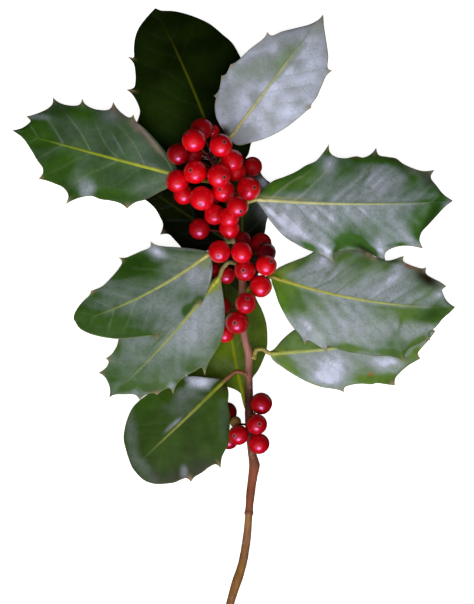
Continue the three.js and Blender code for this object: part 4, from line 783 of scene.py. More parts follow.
def addTones(look, skin, seed):
    # tone: the two greens in slow patches, then tints, side veins, midrib, rim and spines laid over them in
    # turn. painted sheen, a pale grey reflection of the light painted into the colour: the half's own share
    # times streaks and patches, plus the spots; midrib, rim and spines are bare of it
    paint, x, y, out = leafPaint, skin["x"], skin["y"], skin["out"]
    left = out > 0
    waves = ripple(skin["sweep"], paint["streakSqueeze"] * out, paint["streakSize"], seed + 5)
    sheenStreaks = look["sheenStreak"] * waves
    patchy = 1 + sheenStreaks + paint["sheenPatchiness"] * ripple(x, y, paint["sheenPatch"], seed + 3)
    wax = np.where(left, *look["wax"]) * patchy + patches(x, y, look["spots"]) * (1 + 0.5 * sheenStreaks)
    wax = np.clip(wax, 0, paint["sheenLimit"])
    deeper = ease(ripple(x, y, paint["tonePatch"], seed + 2), -0.8, 0.8)
    tone = mixed(toLinear(look["green"]), toLinear(look["deep"]), deeper)
    # tints lay the leaf's own marks, and also painted shade and painted sheen
    for *spot, colour in look["tintsAndPaintedLight"]:
        tint = np.clip(patches(x, y, [spot]), 0, 1)
        tone, wax = mixed(tone, toLinear(colour), tint), wax * (1 - tint)
    veins = np.where(left, *look["veins"]) * skin["vein"]
    rib = ribTones(look, skin["share"])
    tone = mixed(tone, rib, np.clip(paint["veinTone"] * veins, 0, 1))
    wax = np.where(veins > 0, wax + paint["veinSheen"] * veins, wax * (1 + veins))
    bare = 1 - ease(np.abs(out) / skin["ribWidth"], *paint["bareWidths"])
    bare = (1 - ease(skin["share"], *paint["bareShares"])) * bare
    tone = mixed(tone, rib, bare)
    edged = np.exp(-(skin["rim"] / paint["rimWidth"]) ** 2)
    tone = mixed(tone, toLinear(look["rim"]), paint["rimCover"] * edged)
    tipped = paint["spineCover"] * (skin["spine"] * ease(skin["reach"], *paint["spineShares"]))
    skin["tone"] = mixed(tone, toLinear(paint["spineColour"]), tipped)
    skin["wax"] = wax * (1 - bare) * (1 - edged) * (1 - tipped)


def marginBead(top, under, middle):
    # Halfway between the two faces at a margin, moved outwards from the middle of the blade
    side = top - middle
    side = side / np.maximum(np.linalg.norm(side, axis=1, keepdims=True), 1e-6)
    return ((top + under) / 2 + leafShape["rimBead"] * side)[None]


def roundTheBlade(values):
    # A value of the top face is repeated round the right margin, back along the underside and round the
    # left one
    values = np.concatenate([values, values[-1:], values[::-1], values[:1]])
    values = np.swapaxes(values, 0, 1)
    return np.concatenate([values[:1], values])


def leafShell(skin):
    # Each column is one ring: top from left to right, a bead at the right margin, underside back to the
    # left, and a bead there. The underside is the lower of both heights, less the thickness, the midrib's
    # keel and the veins
    thinner = leafShape["rimThickness"] - leafShape["thickness"]
    thickness = leafShape["thickness"] + thinner * skin["reach"] ** 4
    keel = np.exp(-(skin["rim"].max() * skin["reach"] / leafShape["ribUnderWidth"]) ** 2)
    top = np.stack([skin["x"], skin["y"], skin["top"]], axis=-1)
    below = (np.minimum(skin["under"], skin["top"]) - thickness - leafShape["ribUnder"] * keel
             - leafShape["veinUnder"] * skin["vein"])
    under = np.stack([skin["x"], skin["y"], below], axis=-1)[::-1]
    rows, middle = len(top), top[len(top) // 2]
    beads = marginBead(top[-1], under[0], middle), marginBead(top[0], under[-1], middle)
    ring = np.concatenate([top, beads[0], under, beads[1]]).transpose(1, 0, 2)
    start = np.broadcast_to(ring[:1].mean(axis=1, keepdims=True), (1, ring.shape[1], 3))
    ring[-1] = ring[-1].mean(axis=0)
    faces = np.zeros(ring.shape[1], int)
    faces[rows + 1:2 * rows] = 1
    return shell(np.concatenate([start, ring]), faces,
                 **{name: roundTheBlade(skin[name]) for name in ("tone", "wax", "vein")})


def petiolePath(leaf, blade):
    # From inside the bark to the blade, and there a dive below the midrib and on under it as far as the
    # keel reaches
    shape = petioleShape
    path = smoothPath(leaf["petiole"], shape["fineness"])
    start, second = np.array(leaf["petiole"][:2], float)
    heading = second - start
    path = np.concatenate([[start - shape["sunk"] * heading / np.linalg.norm(heading)], path])
    share = np.linspace(0, shape["keelReach"], shape["keelSteps"])
    along, across = share * blade["length"], midribAcross(leaf, share)
    keel = np.interp(share, [0, shape["keelReach"]], [shape["radius"], shape["keelRadius"]])
    drop = (keel + shape["keelDrop"]) * ease(along, 0, shape["dive"])
    height = bladeHeight(leaf, blade, along, 0 * along) - drop
    under = np.stack([*onBlade(blade, along, across), height], axis=1)
    return np.concatenate([path, under]), len(path)


def petioleShell(leaf, look, blade):
    # A round stalk on that path: widest in the bark, even up to the blade, then thinning as the keel.
    # Its colour turns into the midrib's where it joins the blade
    shape, fineness = petioleShape, petioleShape["joinedFineness"]
    points, outside = petiolePath(leaf, blade)
    path = smoothPath(points, fineness)
    joined, order = fineness * outside, np.arange(len(path))
    radii = np.interp(order, [*(share * joined for share in shape["footShares"]), joined, len(path) - 1],
                      [*shape["footRadii"], shape["radius"], shape["keelRadius"]])
    rings = tube(path, radii, shape["sides"], [0, 0, 1])
    count = rings.shape[:2]
    reached = np.broadcast_to(ease(np.pad(order, 1, mode="edge"), joined - 2, joined + 3)[:, None], count)
    tone = mixed(toLinear(look["petiole"]), toLinear(look["rib"][0]), reached)
    blank = np.zeros(count)
    return shell(rings, 2, tone=tone, wax=blank, vein=blank)


def makeLeaf(name, leaf, look, seed, materials):
    blade = bladeOf(leaf)
    skin = leafGrid(leaf, blade)
    addVeins(look, skin, seed)
    addHeights(leaf, blade, skin, seed)
    addTones(look, skin, seed)
    shells = [leafShell(skin), petioleShell(leaf, look, blade)]
    return makePiece("holly_" + name, shells, materials, [name])


# The grey colours of the painted sheen, a reflection of the light painted into the upper face, and the
# roughness under it
leafFinish = {
    "sheenColour": "#B4B9C9", "sheenPeak": "#DEE4FC", "sheenPeakRange": [0.8, 1.15],
    "roughness": 0.34, "sheenRoughness": 0.5,
    "netSize": 1.8, "netWidth": 0.18, "netClear": 0.3, "netDepth": 0.05, "netBend": 4, "netShift": 1.2,
    "mottleSize": 3.2,
    "underColours": ["#5E7A3E", "#7E9A5A"], "underVein": "#A2B27A", "underSize": 2.4, "underDepth": 0.06,
    "petioleGrain": 1.2, "petioleDepth": 0.05,
}


def leafUpperMaterial():
    # Holly leaf, upper face: waxy cuticle over dark green, a fine net of veins and patches of grey painted
    # sheen, a reflection of the light painted into the colour. It gives a leathery half gloss that breaks
    # up over the net where the painted sheen is thick
    finish = leafFinish
    material, tree, shader, place = newMaterial(
        "holly_leaf_painted_sheen_upper", {"IOR": 1.45, "Specular IOR Level": 0.09})
    tone = addNode(tree, "Attribute", {}, attribute_name="tone").outputs["Color"]
    wax = addNode(tree, "Attribute", {}, attribute_name="wax").outputs["Fac"]
    # the net of small veins, its cells bent a little out of shape
    bend = addNode(tree, "TexNoise", {"Vector": place, "Scale": scaleFor(finish["netBend"]),
                                      "Detail": 2})
    shift = finish["netShift"] * mm
    shifted = addNode(tree, "VectorMath", {0: bend.outputs["Color"], 1: (shift, shift, 0), 2: place},
                      operation="MULTIPLY_ADD")
    net = addNode(tree, "TexVoronoi", {"Vector": shifted.outputs[0], "Scale": scaleFor(finish["netSize"])},
                  feature="DISTANCE_TO_EDGE")
    net = net.outputs["Distance"]
    line = addNode(tree, "MapRange", {0: net, 1: 0.0, 2: finish["netWidth"], 3: 1.0, 4: 0.0},
                   interpolation_type="SMOOTHSTEP")
    mottle = addNode(tree, "TexNoise", {"Vector": place, "Scale": scaleFor(finish["mottleSize"]),
                                        "Detail": 5, "Roughness": 0.62}).outputs["Fac"]
    shade = addNode(tree, "MapRange", {0: mottle, 1: 0.3, 2: 0.7, 3: 0.84, 4: 1.16})
    green = addNode(tree, "VectorMath", {0: tone, 3: shade.outputs[0]}, operation="SCALE")
    # the net's lines are clear of painted sheen, more so where the mottle is low
    clear = addNode(tree, "MapRange", {0: mottle, 1: 0.36, 2: 0.66, 3: finish["netClear"], 4: 0.0})
    lost = addNode(tree, "Math", {0: clear.outputs[0], 1: line.outputs[0]}, operation="MULTIPLY")
    kept = addNode(tree, "Math", {0: 1.0, 1: lost.outputs[0]}, operation="SUBTRACT")
    grain = addNode(tree, "MapRange", {0: mottle, 1: 0.3, 2: 0.7, 3: 0.86, 4: 1.12})
    cover = addNode(tree, "Math", {0: kept.outputs[0], 1: grain.outputs[0]}, operation="MULTIPLY")
    cover = addNode(tree, "Math", {0: cover.outputs[0], 1: wax}, operation="MULTIPLY", use_clamp=True)
    # the painted sheen is paler and bluer where it is strongest, as a brighter reflection
    thin, full = finish["sheenPeakRange"]
    sheenPeakShare = addNode(tree, "MapRange", {0: wax, 1: thin, 2: full})
    sheenTone = addNode(tree, "Mix", {0: sheenPeakShare.outputs[0], 6: rgba(finish["sheenColour"]),
                                  7: rgba(finish["sheenPeak"])}, data_type="RGBA")
    colour = addNode(tree, "Mix", {0: cover.outputs[0], 6: green.outputs[0], 7: sheenTone.outputs[2]},
                     data_type="RGBA")
    rough = addNode(tree, "MapRange", {0: cover.outputs[0], 3: finish["roughness"],
                                       4: finish["sheenRoughness"]})
    # the fields of the net are puffed up, more so under the painted sheen
    puff = addNode(tree, "MapRange", {0: net, 1: 0.0, 2: 0.4}, interpolation_type="SMOOTHSTEP")
    share = addNode(tree, "MapRange", {0: wax, 1: 0.0, 2: 0.5, 3: 0.15, 4: 1.0})
    puff = addNode(tree, "Math", {0: puff.outputs[0], 1: share.outputs[0]}, operation="MULTIPLY")
    bump = addNode(tree, "Bump", {"Height": puff.outputs[0], "Distance": finish["netDepth"] * mm,
                                  "Strength": 0.8})
    setInputs(tree, shader, {"Base Color": colour.outputs[2], "Roughness": rough.outputs[0],
                             "Normal": bump.outputs[0]})
    return material


def leafUnderMaterial():
    # Holly leaf, underside: paler and dull, without the wax, so it looks matt and yellowish
    finish = leafFinish
    material, tree, shader, place = newMaterial(
        "holly_leaf_matt_underside", {"IOR": 1.4, "Specular IOR Level": 0.25, "Roughness": 0.62})
    mottle = addNode(tree, "TexNoise", {"Vector": place, "Scale": scaleFor(finish["underSize"]),
                                        "Detail": 4})
    vein = addNode(tree, "Attribute", {}, attribute_name="vein").outputs["Fac"]
    dark, pale = (rgba(colour) for colour in finish["underColours"])
    colour = addNode(tree, "Mix", {0: mottle.outputs["Fac"], 6: dark, 7: pale}, data_type="RGBA")
    colour = addNode(tree, "Mix", {0: vein, 6: colour.outputs[2], 7: rgba(finish["underVein"])},
                     data_type="RGBA")
    bump = addNode(tree, "Bump", {"Height": mottle.outputs["Fac"], "Distance": finish["underDepth"] * mm,
                                  "Strength": 0.6})
    setInputs(tree, shader, {"Base Color": colour.outputs[2], "Normal": bump.outputs[0]})
    return material


def petioleMaterial():
    # Petiole: smooth green skin with faint lengthwise grain, so it has a soft gloss
    finish = leafFinish
    material, tree, shader, place = newMaterial(
        "holly_petiole_skin", {"IOR": 1.45, "Specular IOR Level": 0.4, "Roughness": 0.42})
    tone = addNode(tree, "Attribute", {}, attribute_name="tone").outputs["Color"]
    grain = addNode(tree, "TexNoise", {"Vector": place, "Scale": scaleFor(finish["petioleGrain"]),
                                       "Detail": 3})
    shade = addNode(tree, "MapRange", {0: grain.outputs["Fac"], 1: 0.3, 2: 0.7, 3: 0.8, 4: 1.2})
    colour = addNode(tree, "VectorMath", {0: tone, 3: shade.outputs[0]}, operation="SCALE")
    bump = addNode(tree, "Bump", {"Height": grain.outputs["Fac"], "Distance": finish["petioleDepth"] * mm,
                                  "Strength": 0.6})
    setInputs(tree, shader, {"Base Color": colour.outputs[0], "Normal": bump.outputs[0]})
    return material


leafMaterials = [leafUpperMaterial(), leafUnderMaterial(), petioleMaterial()]
for order, (name, leaf) in enumerate(leaves.items()):
    makeLeaf(name, leaf, leafLooks[name], 11 + 7 * order, leafMaterials)
print("leaves made:", len(leaves))

# Each berry: its centre and radius, where the pole opposite its stalk points (shares of the radius along X
# and Y), and how far along the twig its stalk starts.
berries = {
    "berry_top": [
        [-13.1, 75.2, 21, 4.3, -0.2, 0.6, 60], [-16.3, 70.6, 28.4, 4.6, -0.53, 0.55, 59.5],
        [-8.6, 74.5, 15.7, 2.65, -0.2, 0.96, 61.9], [-5.4, 68.5, 31.6, 4.4, 0.3, 0.27, 60.5],
        [-22.6, 65.2, 21.5, 4.2, -0.5, 0.6, 59], [-16.2, 65, 16.6, 3.7, -0.5, 0.5, 58.8],
        [-15.6, 57.9, 26.8, 4.5, -0.45, 0.13, 58.2], [-0.9, 62.4, 26.5, 4.4, 0.88, 0.05, 58.5],
        [0.7, 58.1, 19.1, 3.8, 0.5, 0.2, 56.5], [7.1, 60.2, 14.8, 3.8, 0.7, 0.3, 54.5],
        [-6.2, 56.3, 31, 4.5, 0.49, -0.12, 52.5], [-22.8, 54.3, 21.6, 4.5, -0.9, -0.25, 56.6],
        [5.7, 51.3, 24, 4.6, 0.46, 0.07, 48.5], [-20.3, 49, 14.8, 3.9, -0.8, 0, 50],
        [-13.1, 47.4, 26.2, 4.7, -0.09, -0.51, 51.8], [-4.4, 50.4, 24, 4.3, -0.4, 0.06, 50.5],
        [1.3, 44.1, 35, 4.1, 0.3, -0.49, 44.5], [-8, 40.9, 22.2, 4, -0.5, 0.2, 42],
        [-2.1, 39.7, 28.6, 3.9, 0.2, 0, 40], [-2, 35.3, 21.9, 4, 0.1, 0.1, 36.5],
        [-14, 35.3, 16.6, 4.1, -0.9, 0.1, 33.6], [-8.2, 48, 17.6, 2.9, -0.6, 0, 46.5],
    ],
    "berry_middle": [
        [-6.1, 26.1, 26, 4.3, -0.07, -0.45, 24.5], [2.9, 25.8, 26, 4.1, 0.05, -0.2, 25],
        [3.4, 31, 19.8, 3.1, 0.5, 0.2, 29.5], [10.6, 29.4, 12.6, 4.1, 0.8, 0.3, 27.5],
        [12.6, 25.8, 19.6, 3.8, 0.8, 0.1, 24], [12.7, 20.6, 25.8, 4, 0.53, 0.2, 25],
        [4.2, 18.7, 21.2, 4.2, -0.12, 0.09, 18], [-3.2, 16.8, 14.8, 3.5, -0.5, -0.2, 15],
        [-8.2, 18.6, 11.2, 3, -0.98, 0, 18.5], [10.5, 12.3, 20.6, 4.3, 0.4, -0.2, 15.5],
        [4.5, 5.5, 22.8, 4.1, 0.12, 0.42, 7], [1, -2.2, 19.8, 4.5, -0.2, -0.04, -0.8],
        [-4.5, 4.3, 11.4, 3.2, -0.7, 0.2, 4.5], [-3.8, -6.6, 10.2, 3.6, -0.6, -0.5, -3.5],
    ],
    "berry_low": [
        [10.7, -34.6, 14.2, 4.2, 0.45, 0.6, -40], [8.9, -42.9, 17, 4, 0.26, 0.02, -42],
        [9.8, -50.7, 13.2, 4, 0.4, -0.75, -45.5], [1.6, -47.2, 12.2, 3.9, -0.45, -0.1, -44.5],
        [-2.2, -49.5, 4.6, 3.4, -0.6, -0.3, -46.5], [-3.1, -38.2, 5.2, 3.9, -0.2, 0.8, -45.2],
        [0.4, -42, 8.6, 2.2, -0.5, 0.3, -43.2],
    ],
}

# Where the flower scar shows, where that isn't the pole; None turns it down and outwards, out of sight from
# above.
scars = {
    "berry_top": {2: (-0.54, 0.6), 4: (0.3, 0.3), 7: (-0.44, 0.15), 8: (0.88, -0.09), 11: (0.47, -0.13),
                  12: (-0.93, 0.04), 13: (0.48, 0.09), 15: (-0.09, -0.51), 16: (-0.33, 0.12),
                  17: (0.3, -0.49)},
    "berry_middle": {1: (-0.07, -0.45), 6: (0.5, 0.37), 7: (-0.17, -0.02), 10: (0.67, -0.56),
                     11: (0.17, 0.44), 12: (-0.2, -0.04)},
    "berry_low": {2: (0.26, 0.02), 4: (-0.45, -0.1)},
}

# How dark a berry is, where it is: 0 is bright red and 1 the darkest crimson. The darkening is partly
# ripeness and partly painted shade, for berries that sit in shadow. One is withered, -1.
ripenessAndShade = {
    "berry_top": {1: 0.45, 3: 0.15, 5: 0.7, 6: 0.55, 10: 0.5, 12: 0.12, 14: 0.1, 17: 0.18, 18: 0.2, 21: 0.6,
                  22: 0.2},
    "berry_middle": {1: 0.15, 3: 0.9, 4: 0.6, 5: 1, 7: 0.4, 8: 0.6, 9: 0.6, 10: 0.15, 11: 0.42, 12: 0.48,
                     13: 0.7, 14: 0.25},
    "berry_low": {1: 0.6, 2: 0.48, 3: 0.4, 4: 0.48, 5: 0.7, 6: 1, 7: -1},
}

berryShape = {
    "rings": 34, "sides": 48, "scarRings": 9, "scarReach": 0.3, "fullness": 1.045,
    "unevenness": 0.012, "unevenSize": 7, "unevenShear": 2.3,
    "scarRadius": 0.62, "scarLobes": 0.13, "scarHeight": 0.12, "scarEdge": [-0.12, 0.1],  # mm
    "dimple": 0.16, "dimpleReach": 1.1, "haloAt": 0.16, "haloWidth": 0.2, "hiddenTilt": -0.15,
}

stalkShape = {
    "radius": 0.42, "steps": 18, "sides": 12, "seatDepth": 0.3, "elbowShare": 0.3, "footShare": 0.94,
    "footSwell": 0.55, "footReach": 0.5, "waviness": 0.08, "waveRate": 2.1,
    "calyxRadius": 1.15, "calyxReach": 0.35,
    "bareSteps": 16, "bareSides": 16, "cupWidth": 0.65, "cupShares": [0.72, 0.97], "cupDepth": 0.35,
}

# The twig's centre and radius, from the cut end to the growing end
twigRun = [
    [-4.2, -124.4, 1.65, 1.6], [-1.7, -114.8, 2.35, 1.6], [0.3, -107.9, 2.9, 1.85],
    [1.2, -105.2, 3.2, 1.95], [2.1, -102.4, 3.5, 1.8], [3.3, -98.2, 3.85, 1.72], [4.9, -88.6, 4.6, 1.62],
    [5.5, -82.4, 5.1, 1.5], [5.7, -79.6, 5.3, 1.5], [5.75, -78.5, 5.4, 1.7], [5.85, -77.2, 5.5, 1.52],
    [6.3, -71.8, 5.95, 1.7], [7.2, -64.6, 6.6, 1.82], [7.9, -59.6, 7.1, 2.1], [7.1, -54.6, 7.6, 1.7],
    [6, -45.2, 8.8, 1.65], [5.9, -36, 9.9, 1.7], [5.9, -29.8, 10.5, 1.5], [5.7, -21.6, 11.5, 1.5],
    [5.6, -14.8, 12.3, 1.6], [4, -7.6, 12.9, 1.45], [3, 2.8, 13.6, 1.5], [3.3, 12.8, 14.3, 1.6],
    [2.6, 22, 14.8, 1.5], [0.6, 30.8, 15.3, 1.55], [-1.4, 40.8, 15.8, 1.45], [-3.4, 50.8, 16.3, 1.4],
    [-6.6, 58.8, 16.9, 1.3], [-8.6, 62.4, 17.3, 1.15],
]


def twigAt(y):
    # Centre and radius of the twig at a distance along Y, straight between the rows of twigRun
    run = np.array(twigRun)
    return np.array([np.interp(y, run[:, 1], run[:, k]) for k in range(4)])


def unit(vector):
    # The vector divided by its length
    return vector / np.linalg.norm(vector)


def seatOn(y, outer, depth):
    # Where a stalk that comes from outer meets the bark at y, so far inside it: centre + (radius - depth) *
    # side, side being the direction to outer less its part along the twig
    stop, ahead = twigAt(y), twigAt(y + 1)
    along = unit((ahead - stop)[:3])
    side = outer - stop[:3]
    side = side - along * (side @ along)
    return stop[:3] + side / np.linalg.norm(side) * (stop[3] - depth)


def acrossOf(direction):
    # Two directions square to the given one and to each other, by cross products
    other = np.array([0, 1, 0]) if abs(direction[1]) < 0.8 else np.array([1, 0, 0])
    first = unit(np.cross(direction, other))
    return first, np.cross(direction, first)


def berryShell(centre, radius, scar, ripe, seed):
    # Point = centre + r(turn, angle) * direction, turn from the scar's pole to the far one. r is the radius
    # with slow unevenness, a shallow dimple round the scar, and the scar itself as a low four-lobed button
    shape = berryShape
    near = np.linspace(0, shape["scarReach"], shape["scarRings"])
    far = np.linspace(shape["scarReach"], np.pi, shape["rings"] - len(near) + 1)[1:]
    turn = np.concatenate([near, far])[:, None]
    angle = onceRound(shape["sides"])[None]
    first, second = acrossOf(scar)
    direction = (np.cos(turn)[..., None] * scar + (np.sin(turn) * np.cos(angle))[..., None] * first
                 + (np.sin(turn) * np.sin(angle))[..., None] * second)
    away = np.sin(np.minimum(turn, np.pi / 2)) * radius
    front = turn < 1.5
    edge = shape["scarRadius"] * (1 + shape["scarLobes"] * np.cos(4 * angle + seed))
    inside = 1 - ease(away, edge + shape["scarEdge"][0], edge + shape["scarEdge"][1])
    halo = np.exp(-((away - edge - shape["haloAt"]) / shape["haloWidth"]) ** 2)
    across, down, out = (direction[..., k] * radius for k in range(3))
    sheared = down + shape["unevenShear"] * out
    r = radius * (1 + shape["unevenness"] * ripple(across, sheared, shape["unevenSize"], seed))
    dimple = shape["dimple"] * np.exp(-(away / shape["dimpleReach"]) ** 2) * front
    r = r - dimple + shape["scarHeight"] * inside
    return shell(centre + r[..., None] * direction, 0,
                 scar=inside, halo=halo * front, ripe=np.full(r.shape, float(ripe)))


def berryStalkShell(centre, radius, pole, start, seed):
    # A thin stalk on a quadratic curve from the berry's foot, straight out and then over to the bark, with
    # the four dry sepals as a lobed collar at the berry
    shape = stalkShape
    foot = centre - shape["footShare"] * radius * pole
    twig = twigAt(start)
    elbow = foot - pole * shape["elbowShare"] * (np.linalg.norm(foot - twig[:3]) - twig[3])
    seat = seatOn(start, elbow, shape["seatDepth"])
    t = np.linspace(0, 1, shape["steps"])[:, None]
    path = (1 - t) ** 2 * foot + 2 * t * (1 - t) * elbow + t ** 2 * seat
    plane = np.cross(elbow - foot, seat - elbow)
    plane = acrossOf(unit(seat - foot))[0] if np.linalg.norm(plane) < 1e-6 else unit(plane)
    run = distancesAlong(path)
    swell = shape["footSwell"] * np.exp(-(run[-1] - run) / shape["footReach"])
    radii = shape["radius"] * (1 + swell + shape["waviness"] * np.sin(run * shape["waveRate"] + seed))
    angle = onceRound(shape["sides"])[None]
    near = np.exp(-(run[:, None] / shape["calyxReach"]) ** 2)
    collar = near * (shape["calyxRadius"] - radii[0]) * (0.7 + 0.3 * np.cos(4 * angle))
    return shell(tube(path, radii, shape["sides"], plane, collar), 1)


def makeBerry(name, row, scar, ripe, seed, materials):
    # The pole is x, y and the height that makes it a unit vector, and so is the scar
    x, y, z, radius, poleX, poleY, start = row
    centre = np.array([x, y, z], float)
    pole = np.array([poleX, poleY, np.sqrt(1 - poleX ** 2 - poleY ** 2)])
    if scar is None:
        outwards = unit(np.array([poleX, poleY, 0]) + 1e-3)
        face = unit(outwards + np.array([0, 0, berryShape["hiddenTilt"]]))
    else:
        face = np.array([*scar, np.sqrt(1 - scar[0] ** 2 - scar[1] ** 2)])
    parts = [berryShell(centre, berryShape["fullness"] * radius, face, ripe, seed),
             berryStalkShell(centre, radius, pole, start, seed)]
    return makePiece("holly_" + name, parts, materials, [name])


berryFinish = {
    "skin": "#FA000E", "deep": "#E6000A", "overripeAndShade": "#62000A", "withered": "#8A6A34", "cloudSize": 6,
    "scar": "#4A3034", "halo": "#C8808A", "haloCover": 0.45, "roughness": 0.42, "scarRoughness": 0.9,
    "fleckSize": 0.9, "fleckDepth": 0.03,
    "stalk": "#5E2218", "stalkPale": "#7A4030", "downSize": 1.6, "downDepth": 0.08,
}


def berrySkinMaterial():
    # Ripe holly berry: thin taut red skin with a faint wax. Its base gloss is broad, and the coat gives one
    # small bright highlight inside the broad one
    finish = berryFinish
    material, tree, shader, place = newMaterial("holly_berry_taut_skin", {
        "IOR": 1.45, "Specular IOR Level": 0.3, "Coat Weight": 1.0, "Coat Roughness": 0.25, "Coat IOR": 1.9,
        "Specular Tint": (1.0, 0.1, 0.7, 1.0)})
    scar, halo, ripe = (addNode(tree, "Attribute", {}, attribute_name=name).outputs["Fac"]
                        for name in ("scar", "halo", "ripe"))
    cloud = addNode(tree, "TexNoise", {"Vector": place, "Scale": scaleFor(finish["cloudSize"]),
                                       "Detail": 3})
    grain = addNode(tree, "TexNoise", {"Vector": place, "Scale": scaleFor(finish["fleckSize"]),
                                       "Detail": 3})
    share = addNode(tree, "MapRange", {0: cloud.outputs["Fac"], 1: 0.35, 2: 0.65})
    withered = addNode(tree, "MapRange", {0: ripe, 1: 0.0, 2: -1.0})
    ringed = addNode(tree, "Math", {0: halo, 1: finish["haloCover"]}, operation="MULTIPLY")
    # each colour in turn is laid over those before it, by its own share
    skin = addNode(tree, "Mix", {0: share.outputs[0], 6: rgba(finish["skin"]), 7: rgba(finish["deep"])},
                   data_type="RGBA")
    # the dark crimson is partly overripe skin and partly painted shade on berries deep in shadow
    for cover, name in [(ripe, "overripeAndShade"), (withered.outputs[0], "withered"), (ringed.outputs[0], "halo"),
                        (scar, "scar")]:
        skin = addNode(tree, "Mix", {0: cover, 6: skin.outputs[2], 7: rgba(finish[name])}, data_type="RGBA")
    rough = addNode(tree, "MapRange", {0: scar, 3: finish["roughness"], 4: finish["scarRoughness"]})
    bump = addNode(tree, "Bump", {"Height": grain.outputs["Fac"], "Distance": finish["fleckDepth"] * mm,
                                  "Strength": 0.5})
    setInputs(tree, shader, {"Base Color": skin.outputs[2], "Roughness": rough.outputs[0],
                             "Normal": bump.outputs[0]})
    return material


def stalkMaterial():
    # Berry stalk: thin red-brown skin with fine down, so it is nearly matt
    finish = berryFinish
    material, tree, shader, place = newMaterial(
        "holly_stalk_downy", {"IOR": 1.4, "Specular IOR Level": 0.3, "Roughness": 0.7})
    grain = addNode(tree, "TexNoise", {"Vector": place, "Scale": scaleFor(finish["downSize"]),
                                       "Detail": 4})
    share = addNode(tree, "MapRange", {0: grain.outputs["Fac"], 1: 0.35, 2: 0.65})
    colour = addNode(tree, "Mix", {0: share.outputs[0], 6: rgba(finish["stalk"]),
                                   7: rgba(finish["stalkPale"])}, data_type="RGBA")
    bump = addNode(tree, "Bump", {"Height": grain.outputs["Fac"], "Distance": finish["downDepth"] * mm,
                                  "Strength": 0.6})
    setInputs(tree, shader, {"Base Color": colour.outputs[2], "Normal": bump.outputs[0]})
    return material


berryMaterials = [berrySkinMaterial(), stalkMaterial()]
for cluster, rows in berries.items():
    for number, row in enumerate(rows, 1):
        scar, ripe = scars[cluster].get(number), ripenessAndShade[cluster].get(number, 0)
        makeBerry(f"{cluster}_{number:02d}", row, scar, ripe, number + len(cluster), berryMaterials)
print("berries made:", sum(len(rows) for rows in berries.values()))

# Twig
twigShape = {
    "fineness": 60, "ringStep": 0.3, "sides": 40, "widest": 3,
    "furrow": 0.05, "furrowRound": 9, "furrowSize": 5, "crossRound": 4, "crossSize": 4,
    "wart": 0.09, "wartSize": 0.3, "wartStretch": 1.5, "wartCount": 120, "wartSeed": 8,  # sizes in mm
    "nodeSwell": 0.55, "nodeReach": 1.9, "nodeLimit": 1.2,
    "scarRings": [-79.1, -78.5, -77.9], "scarRingWidth": 0.22, "scarRingHeight": 0.2,
    "knob": [9.7, -59.2, 8.0], "knobReach": 1.2, "knobHeight": 0.3,
    "cutShares": [0.28, 0.3, 0.8, 0.86, 0.97],  # rings on the cut face, as shares of the radius
}


def wartsOn(length, angle, radii):
    # Each wart is exp(-(along / stretch / size)^2 - (around / size)^2) at a random place, and the highest
    # one counts
    shape, draw = twigShape, np.random.default_rng(twigShape["wartSeed"])
    alongs = draw.uniform(0, length[-1, 0], shape["wartCount"])
    arounds = draw.uniform(0, circle, shape["wartCount"])
    warts = np.zeros(length.shape)
    for along, around in zip(alongs, arounds):
        near = np.abs(length - along) / (shape["wartStretch"] * shape["wartSize"])
        turn = np.abs((angle - around + np.pi) % circle - np.pi) * radii[:, None] / shape["wartSize"]
        warts = np.maximum(warts, np.exp(-near ** 2 - turn ** 2))
    return warts


def furrowsOn(length, angle):
    # Ripples that are narrow round the twig and long along it, and ones half as deep that cross them
    shape, turns = twigShape, twigShape["furrowRound"]
    fine = ripple(turns * np.cos(angle) + 0.12 * length, turns * np.sin(angle) - 0.1 * length,
                  shape["furrowSize"], 3)
    cross = ripple(length, shape["crossRound"] * np.sin(angle), shape["crossSize"], 4)
    return shape["furrow"] * fine + 0.5 * shape["furrow"] * cross


def paddedEnds(values, front):
    # A value's first ring again for each ring of the cut face and its middle, and its last ring again for
    # the tip
    return np.concatenate([np.repeat(values[:1], 1 + front, axis=0), values, values[-1:]])


def makeTwig(materials):
    # A tube on the run of the twig. Its surface stands out by furrows that run lengthwise, warts scattered
    # over it, a swelling where each leaf joins it, three fine rings at the year's bud scar, and a knob at
    # an old leaf scar
    shape = twigShape
    line = smoothPath(twigRun, shape["fineness"])
    run = distancesAlong(line[:, :3])
    where = np.linspace(0, run[-1], int(run[-1] / shape["ringStep"]))
    line = np.stack([np.interp(where, run, line[:, k]) for k in range(4)], axis=1)
    path, radii = line[:, :3], np.minimum(line[:, 3], shape["widest"])
    rings = tube(path, radii, shape["sides"], [0, 0, 1])[1:-1]
    angle = np.broadcast_to(onceRound(shape["sides"]), rings.shape[:2])
    length = np.broadcast_to(where[:, None], rings.shape[:2])
    warts = wartsOn(length, angle, radii)
    away = [np.linalg.norm(rings - leaf["petiole"][0], axis=2) for leaf in leaves.values()]
    swell = sum(np.exp(-(gap / shape["nodeReach"]) ** 2) for gap in away)
    ringed = sum(np.exp(-((rings[..., 1] - y) / shape["scarRingWidth"]) ** 2) for y in shape["scarRings"])
    knob = np.exp(-(np.linalg.norm(rings - shape["knob"], axis=2) / shape["knobReach"]) ** 2)
    relief = (furrowsOn(length, angle) + shape["wart"] * warts
              + shape["nodeSwell"] * np.minimum(swell, shape["nodeLimit"])
              + shape["scarRingHeight"] * ringed + shape["knobHeight"] * knob)
    body = tube(path, radii, shape["sides"], [0, 0, 1], relief)
    cut = np.array(shape["cutShares"])[:, None, None]
    body = np.concatenate([body[:1], path[0] + cut * (body[1] - path[0]), body[1:]])
    material = np.zeros((len(body) - 1, 1), int)
    material[:len(cut)] = 1
    joined = np.clip(swell + knob + 0.6 * ringed, 0, 1)
    twig = shell(body, material, wart=paddedEnds(warts, len(cut)), joint=paddedEnds(joined, len(cut)))
    return makePiece("holly_twig", [twig], materials, ["twig"])


